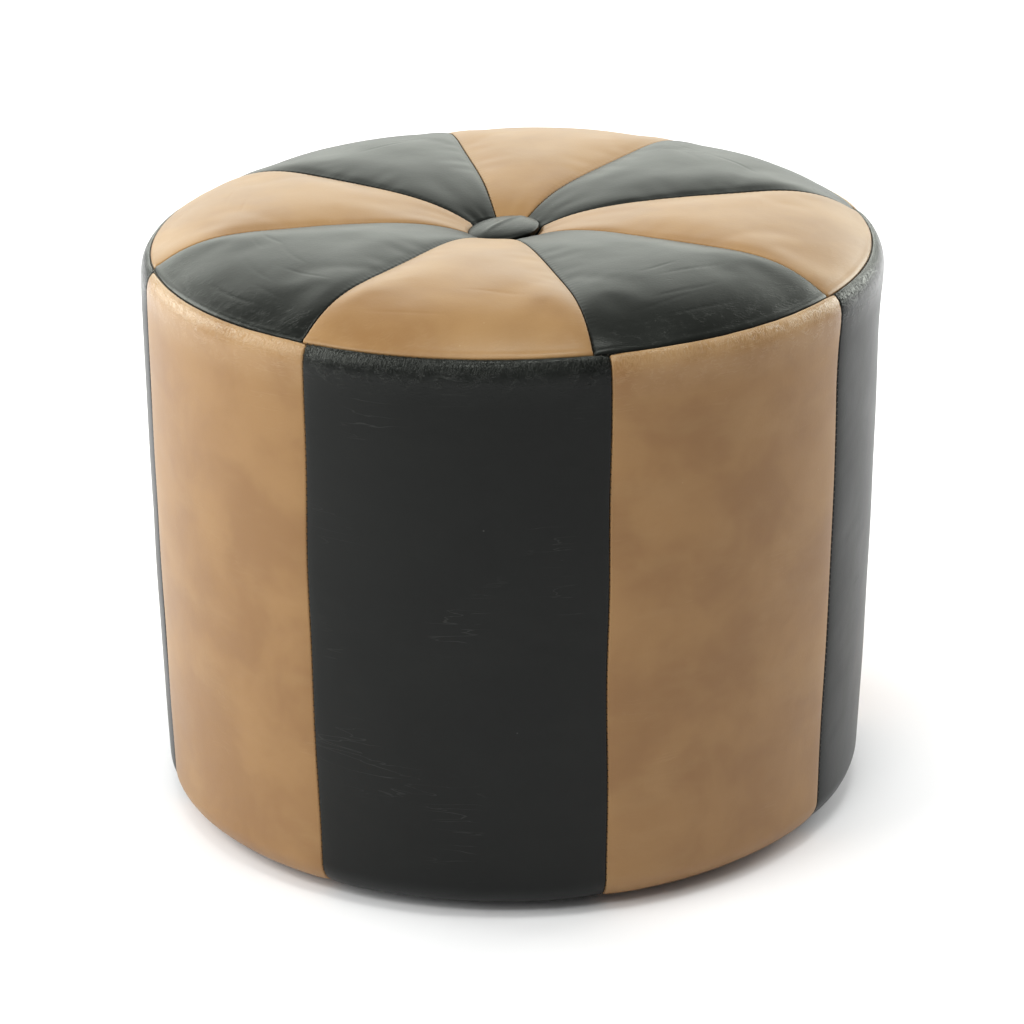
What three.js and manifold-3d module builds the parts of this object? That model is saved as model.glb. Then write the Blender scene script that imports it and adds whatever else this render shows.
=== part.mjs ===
// A round leather drum pouf: a wooden drum with hardboard walls, padded with foam and covered with eight
// side panels and eight top wedges in two colours, drawn down in the middle by one covered button.
// Millimetres, +Z up. The origin is on the floor, under the middle of the drum.
// Azimuths are in degrees, from -Y (0) towards +X (90).
import * as THREE from 'three';
import { mergeVertices } from 'three/addons/utils/BufferGeometryUtils.js';
import Module from 'manifold-3d';

const wasm = await Module();
wasm.setup();

// Driving dimensions of the leather cover.
const panelCount = 8;
const leather = 1.6;                // thickness of the hide
const rimRadius = 225;              // widest radius, just under the rim
const waistRadius = 223.4;          // radius half way up the side
const hemRadius = 219;              // radius at the top of the bottom corner
const cornerRadius = 20;            // rounding of the bottom corner
const hideClearance = 4;            // lowest leather above the floor
const seamRadius = 219;             // radius of the seam between side and top
const seamHeight = 350;             // its height above the floor
const rimRoll = 13;                 // height over which the side rolls inwards to that seam
const crownRise = 20;               // rise of the seat above that seam
const crownShoulder = 48;           // width over which the seat rises
const crownPower = 2.5;
const tuftDepth = 24;               // how far the button draws the seat down
const tuftRadius = 32;              // and how wide that hollow is
const tuftPower = 1.2;
const pocketDepth = 2.6;            // floor of the button's pocket below the rim seam
const turnUnderRadius = 175;        // raw edge of the leather under the base
const turnUnderHeight = 6.1;
const sideSeamLag = 2.2;            // degrees that the side seams sit past the top seams

// Driving dimensions of the drum and its filling.
const gap = 0.3;                    // air left between neighbouring pieces
const boardThickness = 16;
const boardRadius = 203.7;
const baseHeight = 8;               // underside of the base board
const seatHeight = 302;             // upper face of the seat board
const wallInner = 204;
const wallOuter = 207;
const wallFoot = 10;
const sidePaddingTop = 330;
const wadding = 8;
const postSide = 30;
const postCount = 4;                // one glide stands between each pair of posts
const postCentre = 186;
const twineHole = 5;
const foamHole = 6;

// Driving dimensions of the fittings.
const buttonRadius = 22;
const buttonEdge = 7;               // widest line of the button above the rim seam
const buttonCrown = 4;              // dome above that line
const buttonHide = 1.2;
const buttonMetal = 0.8;
const buttonLean = 6;               // degrees off level
const buttonLeanAzimuth = 78;       // side that stands up
const buttonPlate = { radius: 18.2, low: 4.2, high: 5.2, hole: 3 };
const eyeWire = 0.6;
const eyeDepth = 1.9;               // lowest turn of the eye below the rim seam
const twineWire = 1.2;
const hairpinRadius = 3;            // turn of the twine through the eye
const knotRadius = 2;
const toggle = { radius: 4, length: 36, drop: 2 };
const glideRadius = 11;
const glideFlat = 9.5;              // radius of the flat foot
const glideHeight = 5;
const glideCentre = 158;
const dustCover = { radius: 188, low: 5.3, high: 5.8 };
const screw = { head: 4, sink: 2.5, shank: 2, length: 46, tip: 5 };
const nail = { head: 3.1, headLow: 2, headHigh: 2.6, shank: 1, length: 17, tip: 2 };

const fineSegments = 48;
const plainSegments = 24;
const buttonSegments = 16;
const smallSegments = 12;
const wireSides = 6;
const fullTurn = 360;
const panelAngle = fullTurn / panelCount;
const facetStart = Math.PI / fineSegments;  // keeps the facet lines clear of the seams

const finishes = {
  tanHide: { color: 0xa8784e, roughness: 0.55, metalness: 0 },
  blackHide: { color: 0x232221, roughness: 0.45, metalness: 0 },
  foam: { color: 0xe6dfc4, roughness: 0.95, metalness: 0 },
  wool: { color: 0xf1f0ec, roughness: 1, metalness: 0 },
  pine: { color: 0xd2b083, roughness: 0.7, metalness: 0 },
  plywood: { color: 0xc9a674, roughness: 0.7, metalness: 0 },
  hardboard: { color: 0x7a5637, roughness: 0.75, metalness: 0 },
  cambric: { color: 0x1b1b1d, roughness: 0.95, metalness: 0 },
  steel: { color: 0xb9bbbd, roughness: 0.35, metalness: 1 },
  glide: { color: 0x2b2b2b, roughness: 0.5, metalness: 0 },
  twine: { color: 0xd9cfb4, roughness: 0.9, metalness: 0 },
};

const pouf = new THREE.Group();

// Adds one named piece to the pouf.
function addPiece(name, geometry, finish) {
  const mesh = new THREE.Mesh(geometry, new THREE.MeshStandardMaterial(finish));
  mesh.name = name;
  pouf.add(mesh);
  return mesh;
}

// A point in plan at a radius and an azimuth.
function planPoint(radius, azimuth) {
  const angle = THREE.MathUtils.degToRad(azimuth);
  return new THREE.Vector2(radius * Math.sin(angle), -radius * Math.cos(angle));
}

// Turns a section of [radius, height] points about Z. The section runs anticlockwise, and it closes on
// itself unless it starts and ends on the axis. All turned pieces share their facet lines.
function turned(section, segments) {
  const points = section.map(([radius, height]) => new THREE.Vector2(radius, height));
  const onAxis = points[0].x === 0 && points[points.length - 1].x === 0;
  if (!onAxis) points.push(points[0].clone());
  const geometry = new THREE.LatheGeometry(points, segments, facetStart);
  return geometry.rotateX(Math.PI / 2);
}

// An upright cylinder about Z between two heights.
function upright(radius, low, high, segments) {
  const geometry = new THREE.CylinderGeometry(radius, radius, high - low, segments, 1, false, facetStart);
  return geometry.rotateX(Math.PI / 2).translate(0, 0, (low + high) / 2);
}

// A round wire or cord along a curve.
function cordAlong(curve, radius, steps) {
  const section = new THREE.Shape();
  for (let side = 0; side < wireSides; side += 1) {
    const angle = (2 * Math.PI * side) / wireSides;
    const corner = [radius * Math.cos(angle), radius * Math.sin(angle)];
    if (side === 0) section.moveTo(...corner);
    else section.lineTo(...corner);
  }
  return new THREE.ExtrudeGeometry(section, { steps, extrudePath: curve });
}

// Points of a curve in the section plane as [radius, height] pairs.
function sampled(curve, divisions) {
  return curve.getPoints(divisions).map((point) => [point.x, point.y]);
}

// Joins stretches that share their end points into one line.
function joined(...stretches) {
  return stretches.flatMap((stretch, index) => (index === 0 ? stretch : stretch.slice(1)));
}

// Moves a section line inwards. The line runs from the base, up the outside and in over the top.
function inset(line, distance) {
  return line.map(([radius, height], index) => {
    const before = line[Math.max(index - 1, 0)];
    const after = line[Math.min(index + 1, line.length - 1)];
    const along = new THREE.Vector2(after[0] - before[0], after[1] - before[1]).normalize();
    return radius === 0 ? [0, height - distance] : [radius - distance * along.y, height + distance * along.x];
  });
}

// The closed section of a skin whose outer line is given.
function skinSection(line, outerInset, thickness) {
  return [...inset(line, outerInset), ...inset(line, outerInset + thickness).reverse()];
}

// Turns a closed geometry into a solid for joining and cutting.
function solidOf(geometry) {
  const bare = geometry.clone();
  bare.deleteAttribute('normal');
  bare.deleteAttribute('uv');
  const welded = mergeVertices(bare, 1e-4);
  const corners = welded.index.array;
  const triangles = [];
  for (let start = 0; start < corners.length; start += 3) {
    const [a, b, c] = corners.slice(start, start + 3);
    if (a !== b && b !== c && c !== a) triangles.push(a, b, c);
  }
  return new wasm.Manifold(new wasm.Mesh({
    numProp: 3,
    vertProperties: Float32Array.from(welded.attributes.position.array),
    triVerts: Uint32Array.from(triangles),
  }));
}

// Turns a solid back into a geometry.
function geometryOf(solid) {
  const mesh = solid.getMesh();
  const geometry = new THREE.BufferGeometry();
  geometry.setAttribute('position', new THREE.BufferAttribute(mesh.vertProperties, 3));
  geometry.setIndex(new THREE.BufferAttribute(mesh.triVerts, 1));
  geometry.computeVertexNormals();
  return geometry;
}

// Cuts every tool out of a geometry.
function cut(geometry, tools) {
  return geometryOf(tools.reduce((solid, tool) => solid.subtract(solidOf(tool)), solidOf(geometry)));
}

// The prism of one panel, between two seams, drawn back by half a gap from each.
function panelPrism(startAzimuth) {
  const halfAngle = THREE.MathUtils.degToRad(panelAngle / 2);
  const apex = planPoint(gap / 2 / Math.sin(halfAngle), startAzimuth + panelAngle / 2);
  const reach = 1.5 * rimRadius;
  const plan = new THREE.Shape([
    apex,
    planPoint(reach, startAzimuth).add(apex),
    planPoint(reach, startAzimuth + panelAngle).add(apex),
  ]);
  return new THREE.ExtrudeGeometry(plan, { depth: 2 * seamHeight, bevelEnabled: false });
}

// Cuts a turned skin into the panels of the cover, with black and tan taking turns.
function addPanels(section, firstSeam, name, blackFirst) {
  const skin = solidOf(turned(section, fineSegments));
  for (let index = 0; index < panelCount; index += 1) {
    const black = (index % 2 === 0) === blackFirst;
    const panel = skin.intersect(solidOf(panelPrism(firstSeam + index * panelAngle)));
    const finish = black ? finishes.blackHide : finishes.tanHide;
    addPiece(`${name}_${black ? 'black' : 'tan'}_${index + 1}`, geometryOf(panel), finish);
  }
}

// Height of the seat's outer face at a radius.
function seatFace(radius) {
  const inwards = THREE.MathUtils.clamp((seamRadius - radius) / crownShoulder, 0, 1);
  const crown = crownRise * (1 - (1 - inwards) ** crownPower);
  return seamHeight + crown - tuftDepth * Math.exp(-((radius / tuftRadius) ** tuftPower));
}

// Outer line of the side: turned under the base, round the corner, up the side and over the rim.
const corner = new THREE.Vector2(hemRadius - cornerRadius, hideClearance + cornerRadius);
const rollStart = seamHeight - rimRoll;
const cornerSteps = 3;
const sideSteps = 3;
const rollSteps = 3;
const waistPull = 2 * waistRadius - (hemRadius + rimRadius) / 2;
const underCurve = new THREE.QuadraticBezierCurve(
  new THREE.Vector2(corner.x - cornerRadius / 2, turnUnderHeight),
  new THREE.Vector2(corner.x - cornerRadius / 4, hideClearance),
  new THREE.Vector2(corner.x, hideClearance),
);
const cornerCurve = new THREE.EllipseCurve(corner.x, corner.y, cornerRadius, cornerRadius, -Math.PI / 2, 0);
const sideCurve = new THREE.QuadraticBezierCurve(
  new THREE.Vector2(hemRadius, corner.y),
  new THREE.Vector2(waistPull, (corner.y + rollStart) / 2),
  new THREE.Vector2(rimRadius, rollStart),
);
const rollCurve = new THREE.EllipseCurve(
  seamRadius + gap / 2, rollStart, rimRadius - seamRadius - gap / 2, rimRoll, 0, Math.PI / 2,
);
const sideLine = joined(
  [[turnUnderRadius, turnUnderHeight], [corner.x - cornerRadius / 2, turnUnderHeight]],
  sampled(underCurve, 2),
  sampled(cornerCurve, cornerSteps),
  sampled(sideCurve, sideSteps),
  sampled(rollCurve, rollSteps),
);

// Outer line of the top, from the rim seam in to the pocket that the button sits in.
const seatRadii = [seamRadius - gap / 2, 207, 192, 170, 120, 80, 54, 38, 24.8];
const pocketFloor = seamHeight - pocketDepth;
const pocketLine = [[23.4, seamHeight + 4], [21, pocketFloor + 1], [twineHole, pocketFloor]];
const seatLine = [...seatRadii.map((radius) => [radius, seatFace(radius)]), ...pocketLine];

// Places and sizes of the fasteners.
const postAzimuths = Array.from({ length: postCount }, (_, index) => (index * fullTurn) / postCount);
const glideAzimuths = postAzimuths.map((azimuth) => azimuth + fullTurn / postCount / 2);
const postLow = baseHeight + boardThickness + gap;
const postHigh = seatHeight - boardThickness - gap;

// A countersunk screw that points up from the height given, grown by a clearance.
function screwShape(height, clearance) {
  const head = screw.head + clearance;
  const shank = screw.shank + clearance;
  const tipStart = height + screw.length - screw.tip;
  return turned([
    [0, height - clearance],
    [head, height - clearance],
    [shank, height + screw.sink],
    [shank, tipStart],
    [0, tipStart + screw.tip + clearance],
  ], wireSides);
}

// The same screw turned over, so that it points down from the height given.
function screwDown(height, clearance) {
  return screwShape(0, clearance).rotateX(Math.PI).translate(0, 0, height);
}

// A wire nail that points up out of a glide, grown by a clearance.
function nailShape(clearance) {
  const shankTop = nail.headHigh + nail.length;
  return turned([
    [0, nail.headLow - clearance],
    [nail.head + clearance, nail.headLow - clearance],
    [nail.head + clearance, nail.headHigh + clearance],
    [nail.shank + clearance, nail.headHigh + clearance],
    [nail.shank + clearance, shankTop],
    [0, shankTop + nail.tip + clearance],
  ], wireSides);
}

// Copies of a geometry moved out to a radius at each azimuth, still square to the floor.
function around(geometry, radius, azimuths) {
  return azimuths.map((azimuth) => {
    const place = planPoint(radius, azimuth);
    const turn = THREE.MathUtils.degToRad(azimuth);
    return geometry.clone().rotateZ(turn).translate(place.x, place.y, 0);
  });
}

// The cover.
function addCover() {
  addPanels(skinSection(seatLine, 0, leather), 0, 'top_panel', true);
  addPanels(skinSection(sideLine, 0, leather), sideSeamLag, 'side_panel', false);
}

// The wooden drum: two boards, posts, screws and the hardboard wall round them.
function addDrum() {
  const lowScrewHead = baseHeight + gap;
  const highScrewHead = seatHeight - gap;
  const lowHoles = around(screwShape(lowScrewHead, gap), postCentre, postAzimuths);
  const highHoles = around(screwDown(highScrewHead, gap), postCentre, postAzimuths);
  const nailHoles = around(nailShape(gap), glideCentre, glideAzimuths);
  const base = upright(boardRadius, baseHeight, baseHeight + boardThickness, fineSegments);
  const seat = upright(boardRadius, seatHeight - boardThickness, seatHeight, fineSegments);
  const twineBore = upright(twineHole, 0, seamHeight, smallSegments);
  addPiece('base_board', cut(base, [...lowHoles, ...nailHoles]), finishes.plywood);
  addPiece('seat_board', cut(seat, [...highHoles, twineBore]), finishes.plywood);
  const wallSection = [
    [wallInner, wallFoot],
    [wallOuter, wallFoot],
    [wallOuter, seatHeight],
    [wallInner, seatHeight],
  ];
  addPiece('drum_wall', turned(wallSection, fineSegments), finishes.hardboard);
  const post = new THREE.BoxGeometry(postSide, postSide, postHigh - postLow);
  post.translate(0, 0, (postHigh + postLow) / 2);
  const lowScrews = around(screwShape(lowScrewHead, 0), postCentre, postAzimuths);
  const highScrews = around(screwDown(highScrewHead, 0), postCentre, postAzimuths);
  around(post, postCentre, postAzimuths).forEach((blank, index) => {
    addPiece(`post_${index + 1}`, cut(blank, [lowHoles[index], highHoles[index]]), finishes.pine);
    addPiece(`base_screw_${index + 1}`, lowScrews[index], finishes.steel);
    addPiece(`seat_screw_${index + 1}`, highScrews[index], finishes.steel);
  });
}

// The filling: foam round the side, foam on the seat and wadding over it.
function addFilling() {
  const sideSkin = leather + gap;
  const wallFace = wallOuter + gap;
  const rimInner = rimRadius - sideSkin - gap;
  const sideFace = inset(sideLine, sideSkin).filter(([radius, height]) => (
    radius > wallFace && height < sidePaddingTop
  ));
  const sideSection = [
    [wallFace, wallFoot],
    ...sideFace,
    [rimInner, sidePaddingTop],
    [wallFace, sidePaddingTop],
  ];
  addPiece('side_padding', turned(sideSection, fineSegments), finishes.foam);

  const foamEdge = wallOuter - gap;
  const foamRimHeight = sidePaddingTop + 5;
  const foamRadii = [192, 170, 120, 60, 40];
  const foamTop = [
    ...foamRadii.map((radius) => [radius, seatFace(radius) - sideSkin - wadding - gap]),
    [28, seamHeight - 6],
    [foamHole, seamHeight - 11],
  ];
  const foamSection = [
    [foamHole, seatHeight + gap],
    [foamEdge, seatHeight + gap],
    [foamEdge, foamRimHeight],
    ...foamTop,
  ];
  addPiece('seat_foam', turned(foamSection, plainSegments), finishes.foam);

  const underRoll = inset(sideLine, sideSkin).slice(-rollSteps - 1);
  const underHide = [...underRoll, ...inset(seatLine, sideSkin).slice(0, -1)];
  const waddingSection = [
    [foamEdge + gap, sidePaddingTop + gap],
    [rimInner, sidePaddingTop + gap],
    ...underHide,
    [foamHole, pocketFloor - sideSkin],
    ...foamTop.map(([radius, height]) => [radius, height + gap]).reverse(),
    [foamEdge + gap, foamRimHeight + gap],
  ];
  addPiece('seat_wadding', turned(waddingSection, plainSegments), finishes.wool);
}

// The covered button, which leans about the foot of its eye, and the twine that ties it down to a toggle
// under the seat board.
function addButton() {
  const eyeFoot = seamHeight - eyeDepth;
  const leanAxis = planPoint(1, buttonLeanAzimuth - 90);
  const lean = new THREE.Matrix4().makeRotationAxis(
    new THREE.Vector3(leanAxis.x, leanAxis.y, 0),
    THREE.MathUtils.degToRad(buttonLean),
  );
  const leaned = (geometry) => geometry.translate(0, 0, -eyeFoot).applyMatrix4(lean).translate(0, 0, eyeFoot);

  const dome = new THREE.QuadraticBezierCurve(
    new THREE.Vector2(buttonRadius, seamHeight + buttonEdge),
    new THREE.Vector2(buttonRadius * 0.75, seamHeight + buttonEdge + buttonCrown),
    new THREE.Vector2(0, seamHeight + buttonEdge + buttonCrown),
  );
  const buttonUnder = [
    [16.5, seamHeight + 2.2],
    [19.5, seamHeight + 2.6],
    [21.6, seamHeight + 5],
    [buttonRadius, seamHeight + buttonEdge],
  ];
  const buttonLine = joined(buttonUnder, sampled(dome, 4));
  const metalLine = buttonLine.slice(2);
  const coverSection = skinSection(buttonLine, 0, buttonHide);
  const metalSection = skinSection(metalLine, buttonHide + gap, buttonMetal);
  addPiece('button_cover', leaned(skinOfCap(coverSection)), finishes.blackHide);
  addPiece('button_shell', leaned(skinOfCap(metalSection)), finishes.steel);
  const plateSection = [
    [buttonPlate.hole, seamHeight + buttonPlate.low],
    [buttonPlate.radius, seamHeight + buttonPlate.low],
    [buttonPlate.radius, seamHeight + buttonPlate.high],
    [buttonPlate.hole, seamHeight + buttonPlate.high],
  ];
  addPiece('button_back', leaned(turned(plateSection, buttonSegments)), finishes.steel);

  const legHeight = buttonPlate.high + gap + eyeWire + 0.1;
  const halfEye = [[6, legHeight], [3, legHeight], [1.8, 5.2], [1.8, 4], [2.9, 1.5], [2.2, -0.9]];
  const eyePoints = [
    ...halfEye.map(([across, height]) => [-across, height]),
    [0, -eyeDepth],
    ...halfEye.toReversed(),
  ].map(([across, height]) => new THREE.Vector3(0, across, seamHeight + height));
  const eye = cordAlong(new THREE.CatmullRomCurve3(eyePoints), eyeWire, 24);
  addPiece('button_eye', leaned(eye), finishes.steel);

  const toggleHeight = seatHeight - boardThickness - toggle.drop - toggle.radius;
  const wrap = toggle.radius + twineWire + 2 * gap;
  const strand = [
    [2.7, toggleHeight - wrap],
    [0.8 * wrap, toggleHeight - 0.75 * wrap],
    [wrap, toggleHeight],
    [0.9 * wrap, toggleHeight + 0.45 * wrap],
    [twineHole - twineWire - 2 * gap, seatHeight - boardThickness],
    [hairpinRadius, seatHeight + 12],
    [hairpinRadius, seamHeight - 12],
    [hairpinRadius, eyeFoot],
    [hairpinRadius * Math.SQRT1_2, eyeFoot + hairpinRadius * Math.SQRT1_2],
  ];
  const twinePoints = [
    ...strand.map(([across, height]) => [-across, height]),
    [0, eyeFoot + hairpinRadius],
    ...strand.toReversed(),
  ].map(([across, height]) => new THREE.Vector3(across, 0, height));
  addPiece('button_twine', cordAlong(new THREE.CatmullRomCurve3(twinePoints), twineWire, 40), finishes.twine);
  const knotHeight = toggleHeight - toggle.radius - knotRadius - gap;
  const knot = new THREE.IcosahedronGeometry(knotRadius, 1).translate(0, 0, knotHeight);
  addPiece('twine_knot', knot, finishes.twine);
  const dowel = new THREE.CylinderGeometry(toggle.radius, toggle.radius, toggle.length, smallSegments);
  addPiece('twine_toggle', dowel.translate(0, 0, toggleHeight), finishes.pine);
}

// A cap open at the bottom: its section leaves the axis along the inner line and comes back along the outer.
function skinOfCap(section) {
  const top = section.findIndex(([radius]) => radius === 0);
  const fromAxis = [...section.slice(top + 1), ...section.slice(0, top + 1)];
  return turned(fromAxis, buttonSegments);
}

// Everything under the base: the dust cover, and four nail-on glides.
function addUnderside() {
  const nailHoles = around(nailShape(gap), glideCentre, glideAzimuths);
  const cloth = upright(dustCover.radius, dustCover.low, dustCover.high, fineSegments);
  addPiece('dust_cover', cut(cloth, nailHoles), finishes.cambric);
  const rounding = glideRadius - glideFlat;
  const bore = nail.shank + gap;
  const pocket = nail.head + gap;
  const glide = turned([
    [0, 0],
    [glideFlat, 0],
    [glideRadius, rounding],
    [glideRadius, glideHeight],
    [bore, glideHeight],
    [bore, nail.headHigh + gap],
    [pocket, nail.headHigh + gap],
    [pocket, nail.headLow - gap],
    [0, nail.headLow - gap],
  ], plainSegments);
  const nails = around(nailShape(0), glideCentre, glideAzimuths);
  around(glide, glideCentre, glideAzimuths).forEach((pad, index) => {
    addPiece(`glide_${index + 1}`, pad, finishes.glide);
    addPiece(`glide_nail_${index + 1}`, nails[index], finishes.steel);
  });
}

addCover();
addDrum();
addFilling();
addButton();
addUnderside();

export default pouf;
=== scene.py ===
"""A round leather drum pouf in tan and black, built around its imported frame.

The cover is eight seat wedges and eight side panels, each a closed piece of hide with its edges turned into
the seams. Cloth simulation blows the wedges and the side panels up between their seams. The seams, stitches,
staples, filling, button and underside are made here; the wooden drum and the fasteners are the frame's own.
Lengths are in metres. Azimuths are in radians, from -Y (0) towards +X (pi / 2).
"""
import logging
import math
from dataclasses import dataclass
from enum import Enum
from typing import Any, Mapping, Sequence, Union

import bmesh
import bpy
import numpy as np
from mathutils import Matrix, Vector


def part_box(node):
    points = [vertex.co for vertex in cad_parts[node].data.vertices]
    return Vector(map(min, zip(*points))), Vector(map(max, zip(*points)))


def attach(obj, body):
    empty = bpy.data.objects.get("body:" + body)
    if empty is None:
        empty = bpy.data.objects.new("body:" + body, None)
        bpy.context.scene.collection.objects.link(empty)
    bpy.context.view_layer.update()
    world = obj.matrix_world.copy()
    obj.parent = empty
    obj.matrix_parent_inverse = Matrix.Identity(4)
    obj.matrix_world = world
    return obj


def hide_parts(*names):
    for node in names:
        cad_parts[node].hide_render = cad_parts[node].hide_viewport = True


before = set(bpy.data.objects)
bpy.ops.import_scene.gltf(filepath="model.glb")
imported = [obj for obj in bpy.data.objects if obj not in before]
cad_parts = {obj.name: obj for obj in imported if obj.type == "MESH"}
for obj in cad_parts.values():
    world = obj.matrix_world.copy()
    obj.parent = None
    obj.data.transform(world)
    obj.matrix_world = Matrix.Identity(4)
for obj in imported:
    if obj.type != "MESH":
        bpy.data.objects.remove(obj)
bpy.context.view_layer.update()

LOG = logging.getLogger("pouf")
BODY = "root"
MM = 0.001
PANELS = 8
PANEL_ANGLE = 2 * math.pi / PANELS
Colour = tuple[float, float, float]
Spot = tuple[float, float]
Operand = Union["Wire", float]


def grey(value: float) -> Colour:
    """Return a neutral colour."""
    return (value, value, value)


# ----------------------------------------------------------------------
# Shader expressions
# ----------------------------------------------------------------------


class Wire:
    """One output of a shader node, which can be used in arithmetic."""

    def __init__(self, graph: "Graph", socket: bpy.types.NodeSocket) -> None:
        """Keep the socket and the graph that it belongs to."""
        self.graph = graph
        self.socket = socket

    def _maths(self, operation: str, left: Operand, right: Operand = 0.0) -> "Wire":
        """Add a Math node for an operation on two operands."""
        return self.graph.node("ShaderNodeMath", {"operation": operation}, {0: left, 1: right})

    def __add__(self, other: Operand) -> "Wire":
        """Return self + other."""
        return self._maths("ADD", self, other)

    def __radd__(self, other: Operand) -> "Wire":
        """Return other + self."""
        return self._maths("ADD", other, self)

    def __sub__(self, other: Operand) -> "Wire":
        """Return self - other."""
        return self._maths("SUBTRACT", self, other)

    def __rsub__(self, other: Operand) -> "Wire":
        """Return other - self."""
        return self._maths("SUBTRACT", other, self)

    def __mul__(self, other: Operand) -> "Wire":
        """Return self * other."""
        return self._maths("MULTIPLY", self, other)

    def __rmul__(self, other: Operand) -> "Wire":
        """Return other * self."""
        return self._maths("MULTIPLY", other, self)

    def __truediv__(self, other: Operand) -> "Wire":
        """Return self / other."""
        return self._maths("DIVIDE", self, other)

    def __rtruediv__(self, other: Operand) -> "Wire":
        """Return other / self."""
        return self._maths("DIVIDE", other, self)

    def __pow__(self, other: Operand) -> "Wire":
        """Return self raised to other."""
        return self._maths("POWER", self, other)

    def __rpow__(self, other: Operand) -> "Wire":
        """Return other raised to self."""
        return self._maths("POWER", other, self)

    def sine(self) -> "Wire":
        """Return the sine of self."""
        return self._maths("SINE", self)

    def size(self) -> "Wire":
        """Return the absolute value of self."""
        return self._maths("ABSOLUTE", self)

    def ramp(self, low: float, high: float) -> "Wire":
        """Return a smooth step from 0 at low to 1 at high. High may lie below low.

        Args:
            low: Where the step starts.
            high: Where it ends.

        Returns:
            The step, held at 0 and 1 outside the range.
        """
        return self.graph.node(
            "ShaderNodeMapRange",
            {"interpolation_type": "SMOOTHSTEP"},
            {"Value": self, "From Min": low, "From Max": high},
        )


class Graph:
    """The node tree of one material, built from expressions."""

    def __init__(self, name: str) -> None:
        """Start a material with one Principled shader."""
        self.material = bpy.data.materials.new(name)
        self.material.use_nodes = True
        self.tree = self.material.node_tree
        self.shader = self.tree.nodes["Principled BSDF"]

    def node(
        self,
        kind: str,
        settings: Mapping[str, Any] | None = None,
        inputs: Mapping[int | str, Any] | None = None,
        output: int | str = 0,
    ) -> Wire:
        """Add a node.

        Args:
            kind: The node's type.
            settings: Properties that are set first.
            inputs: Values or wires for its sockets.
            output: Which output is returned.

        Returns:
            The chosen output.
        """
        made = self.tree.nodes.new(kind)
        for key, value in (settings or {}).items():
            setattr(made, key, value)
        for key, value in (inputs or {}).items():
            self.feed(made.inputs[key], value)
        return Wire(self, made.outputs[output])

    def feed(self, socket: bpy.types.NodeSocket, value: Any) -> None:
        """Link a wire to a socket, or set the socket's value."""
        if isinstance(value, Wire):
            self.tree.links.new(value.socket, socket)
        elif isinstance(value, tuple) and socket.type == "RGBA":
            socket.default_value = (*value, 1.0)
        else:
            socket.default_value = value

    def position(self) -> Wire:
        """Return the object coordinates, in metres."""
        return self.node("ShaderNodeTexCoord", output="Object")

    def layout(self) -> Wire:
        """Return the piece's own UV map, which is laid out in metres."""
        return self.node("ShaderNodeUVMap", {"uv_map": "hide"})

    def attribute(self, name: str) -> Wire:
        """Return a value stored on the mesh."""
        return self.node("ShaderNodeAttribute", {"attribute_name": name}, output="Fac")

    def placed(self, vector: Wire, scale: Colour, turn: float = 0.0) -> Wire:
        """Return coordinates that are scaled and then turned about Z."""
        inputs = {"Vector": vector, "Rotation": (0, 0, turn), "Scale": scale}
        return self.node("ShaderNodeMapping", {}, inputs)

    def split(self, vector: Wire) -> tuple[Wire, Wire, Wire]:
        """Return the three parts of a vector."""
        first = self.node("ShaderNodeSeparateXYZ", {}, {0: vector})
        return tuple(Wire(self, output) for output in first.socket.node.outputs)

    def noise(
        self, vector: Wire, scale: float, detail: float = 2.0, rough: float = 0.5, bend: float = 0.0
    ) -> Wire:
        """Return soft noise from 0 to 1."""
        inputs = {"Vector": vector, "Scale": scale, "Detail": detail, "Roughness": rough, "Distortion": bend}
        return self.node("ShaderNodeTexNoise", {}, inputs)

    def cells(self, vector: Wire, scale: float, feature: str = "F1", output: str = "Distance") -> Wire:
        """Return a pattern of cells: the distance to their middles, or a colour for each."""
        inputs = {"Vector": vector, "Scale": scale}
        return self.node("ShaderNodeTexVoronoi", {"feature": feature}, inputs, output)

    def mix(self, factor: Operand, first: Any, second: Any) -> Wire:
        """Return a mix of two colours."""
        return self.node("ShaderNodeMix", {"data_type": "RGBA"}, {0: factor, 6: first, 7: second}, 2)

    def bump(self, height: Wire) -> Wire:
        """Return a normal bent by a height in metres."""
        return self.node("ShaderNodeBump", {}, {"Height": height, "Strength": 1.0, "Distance": 1.0})

    def finish(self, **sockets: Any) -> bpy.types.Material:
        """Feed the shader's sockets.

        Args:
            sockets: Values or wires, with each socket's name written with underscores.

        Returns:
            The finished material.
        """
        for name, value in sockets.items():
            self.feed(self.shader.inputs[name.replace("_", " ")], value)
        return self.material


# ----------------------------------------------------------------------
# Finishes
# ----------------------------------------------------------------------


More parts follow.
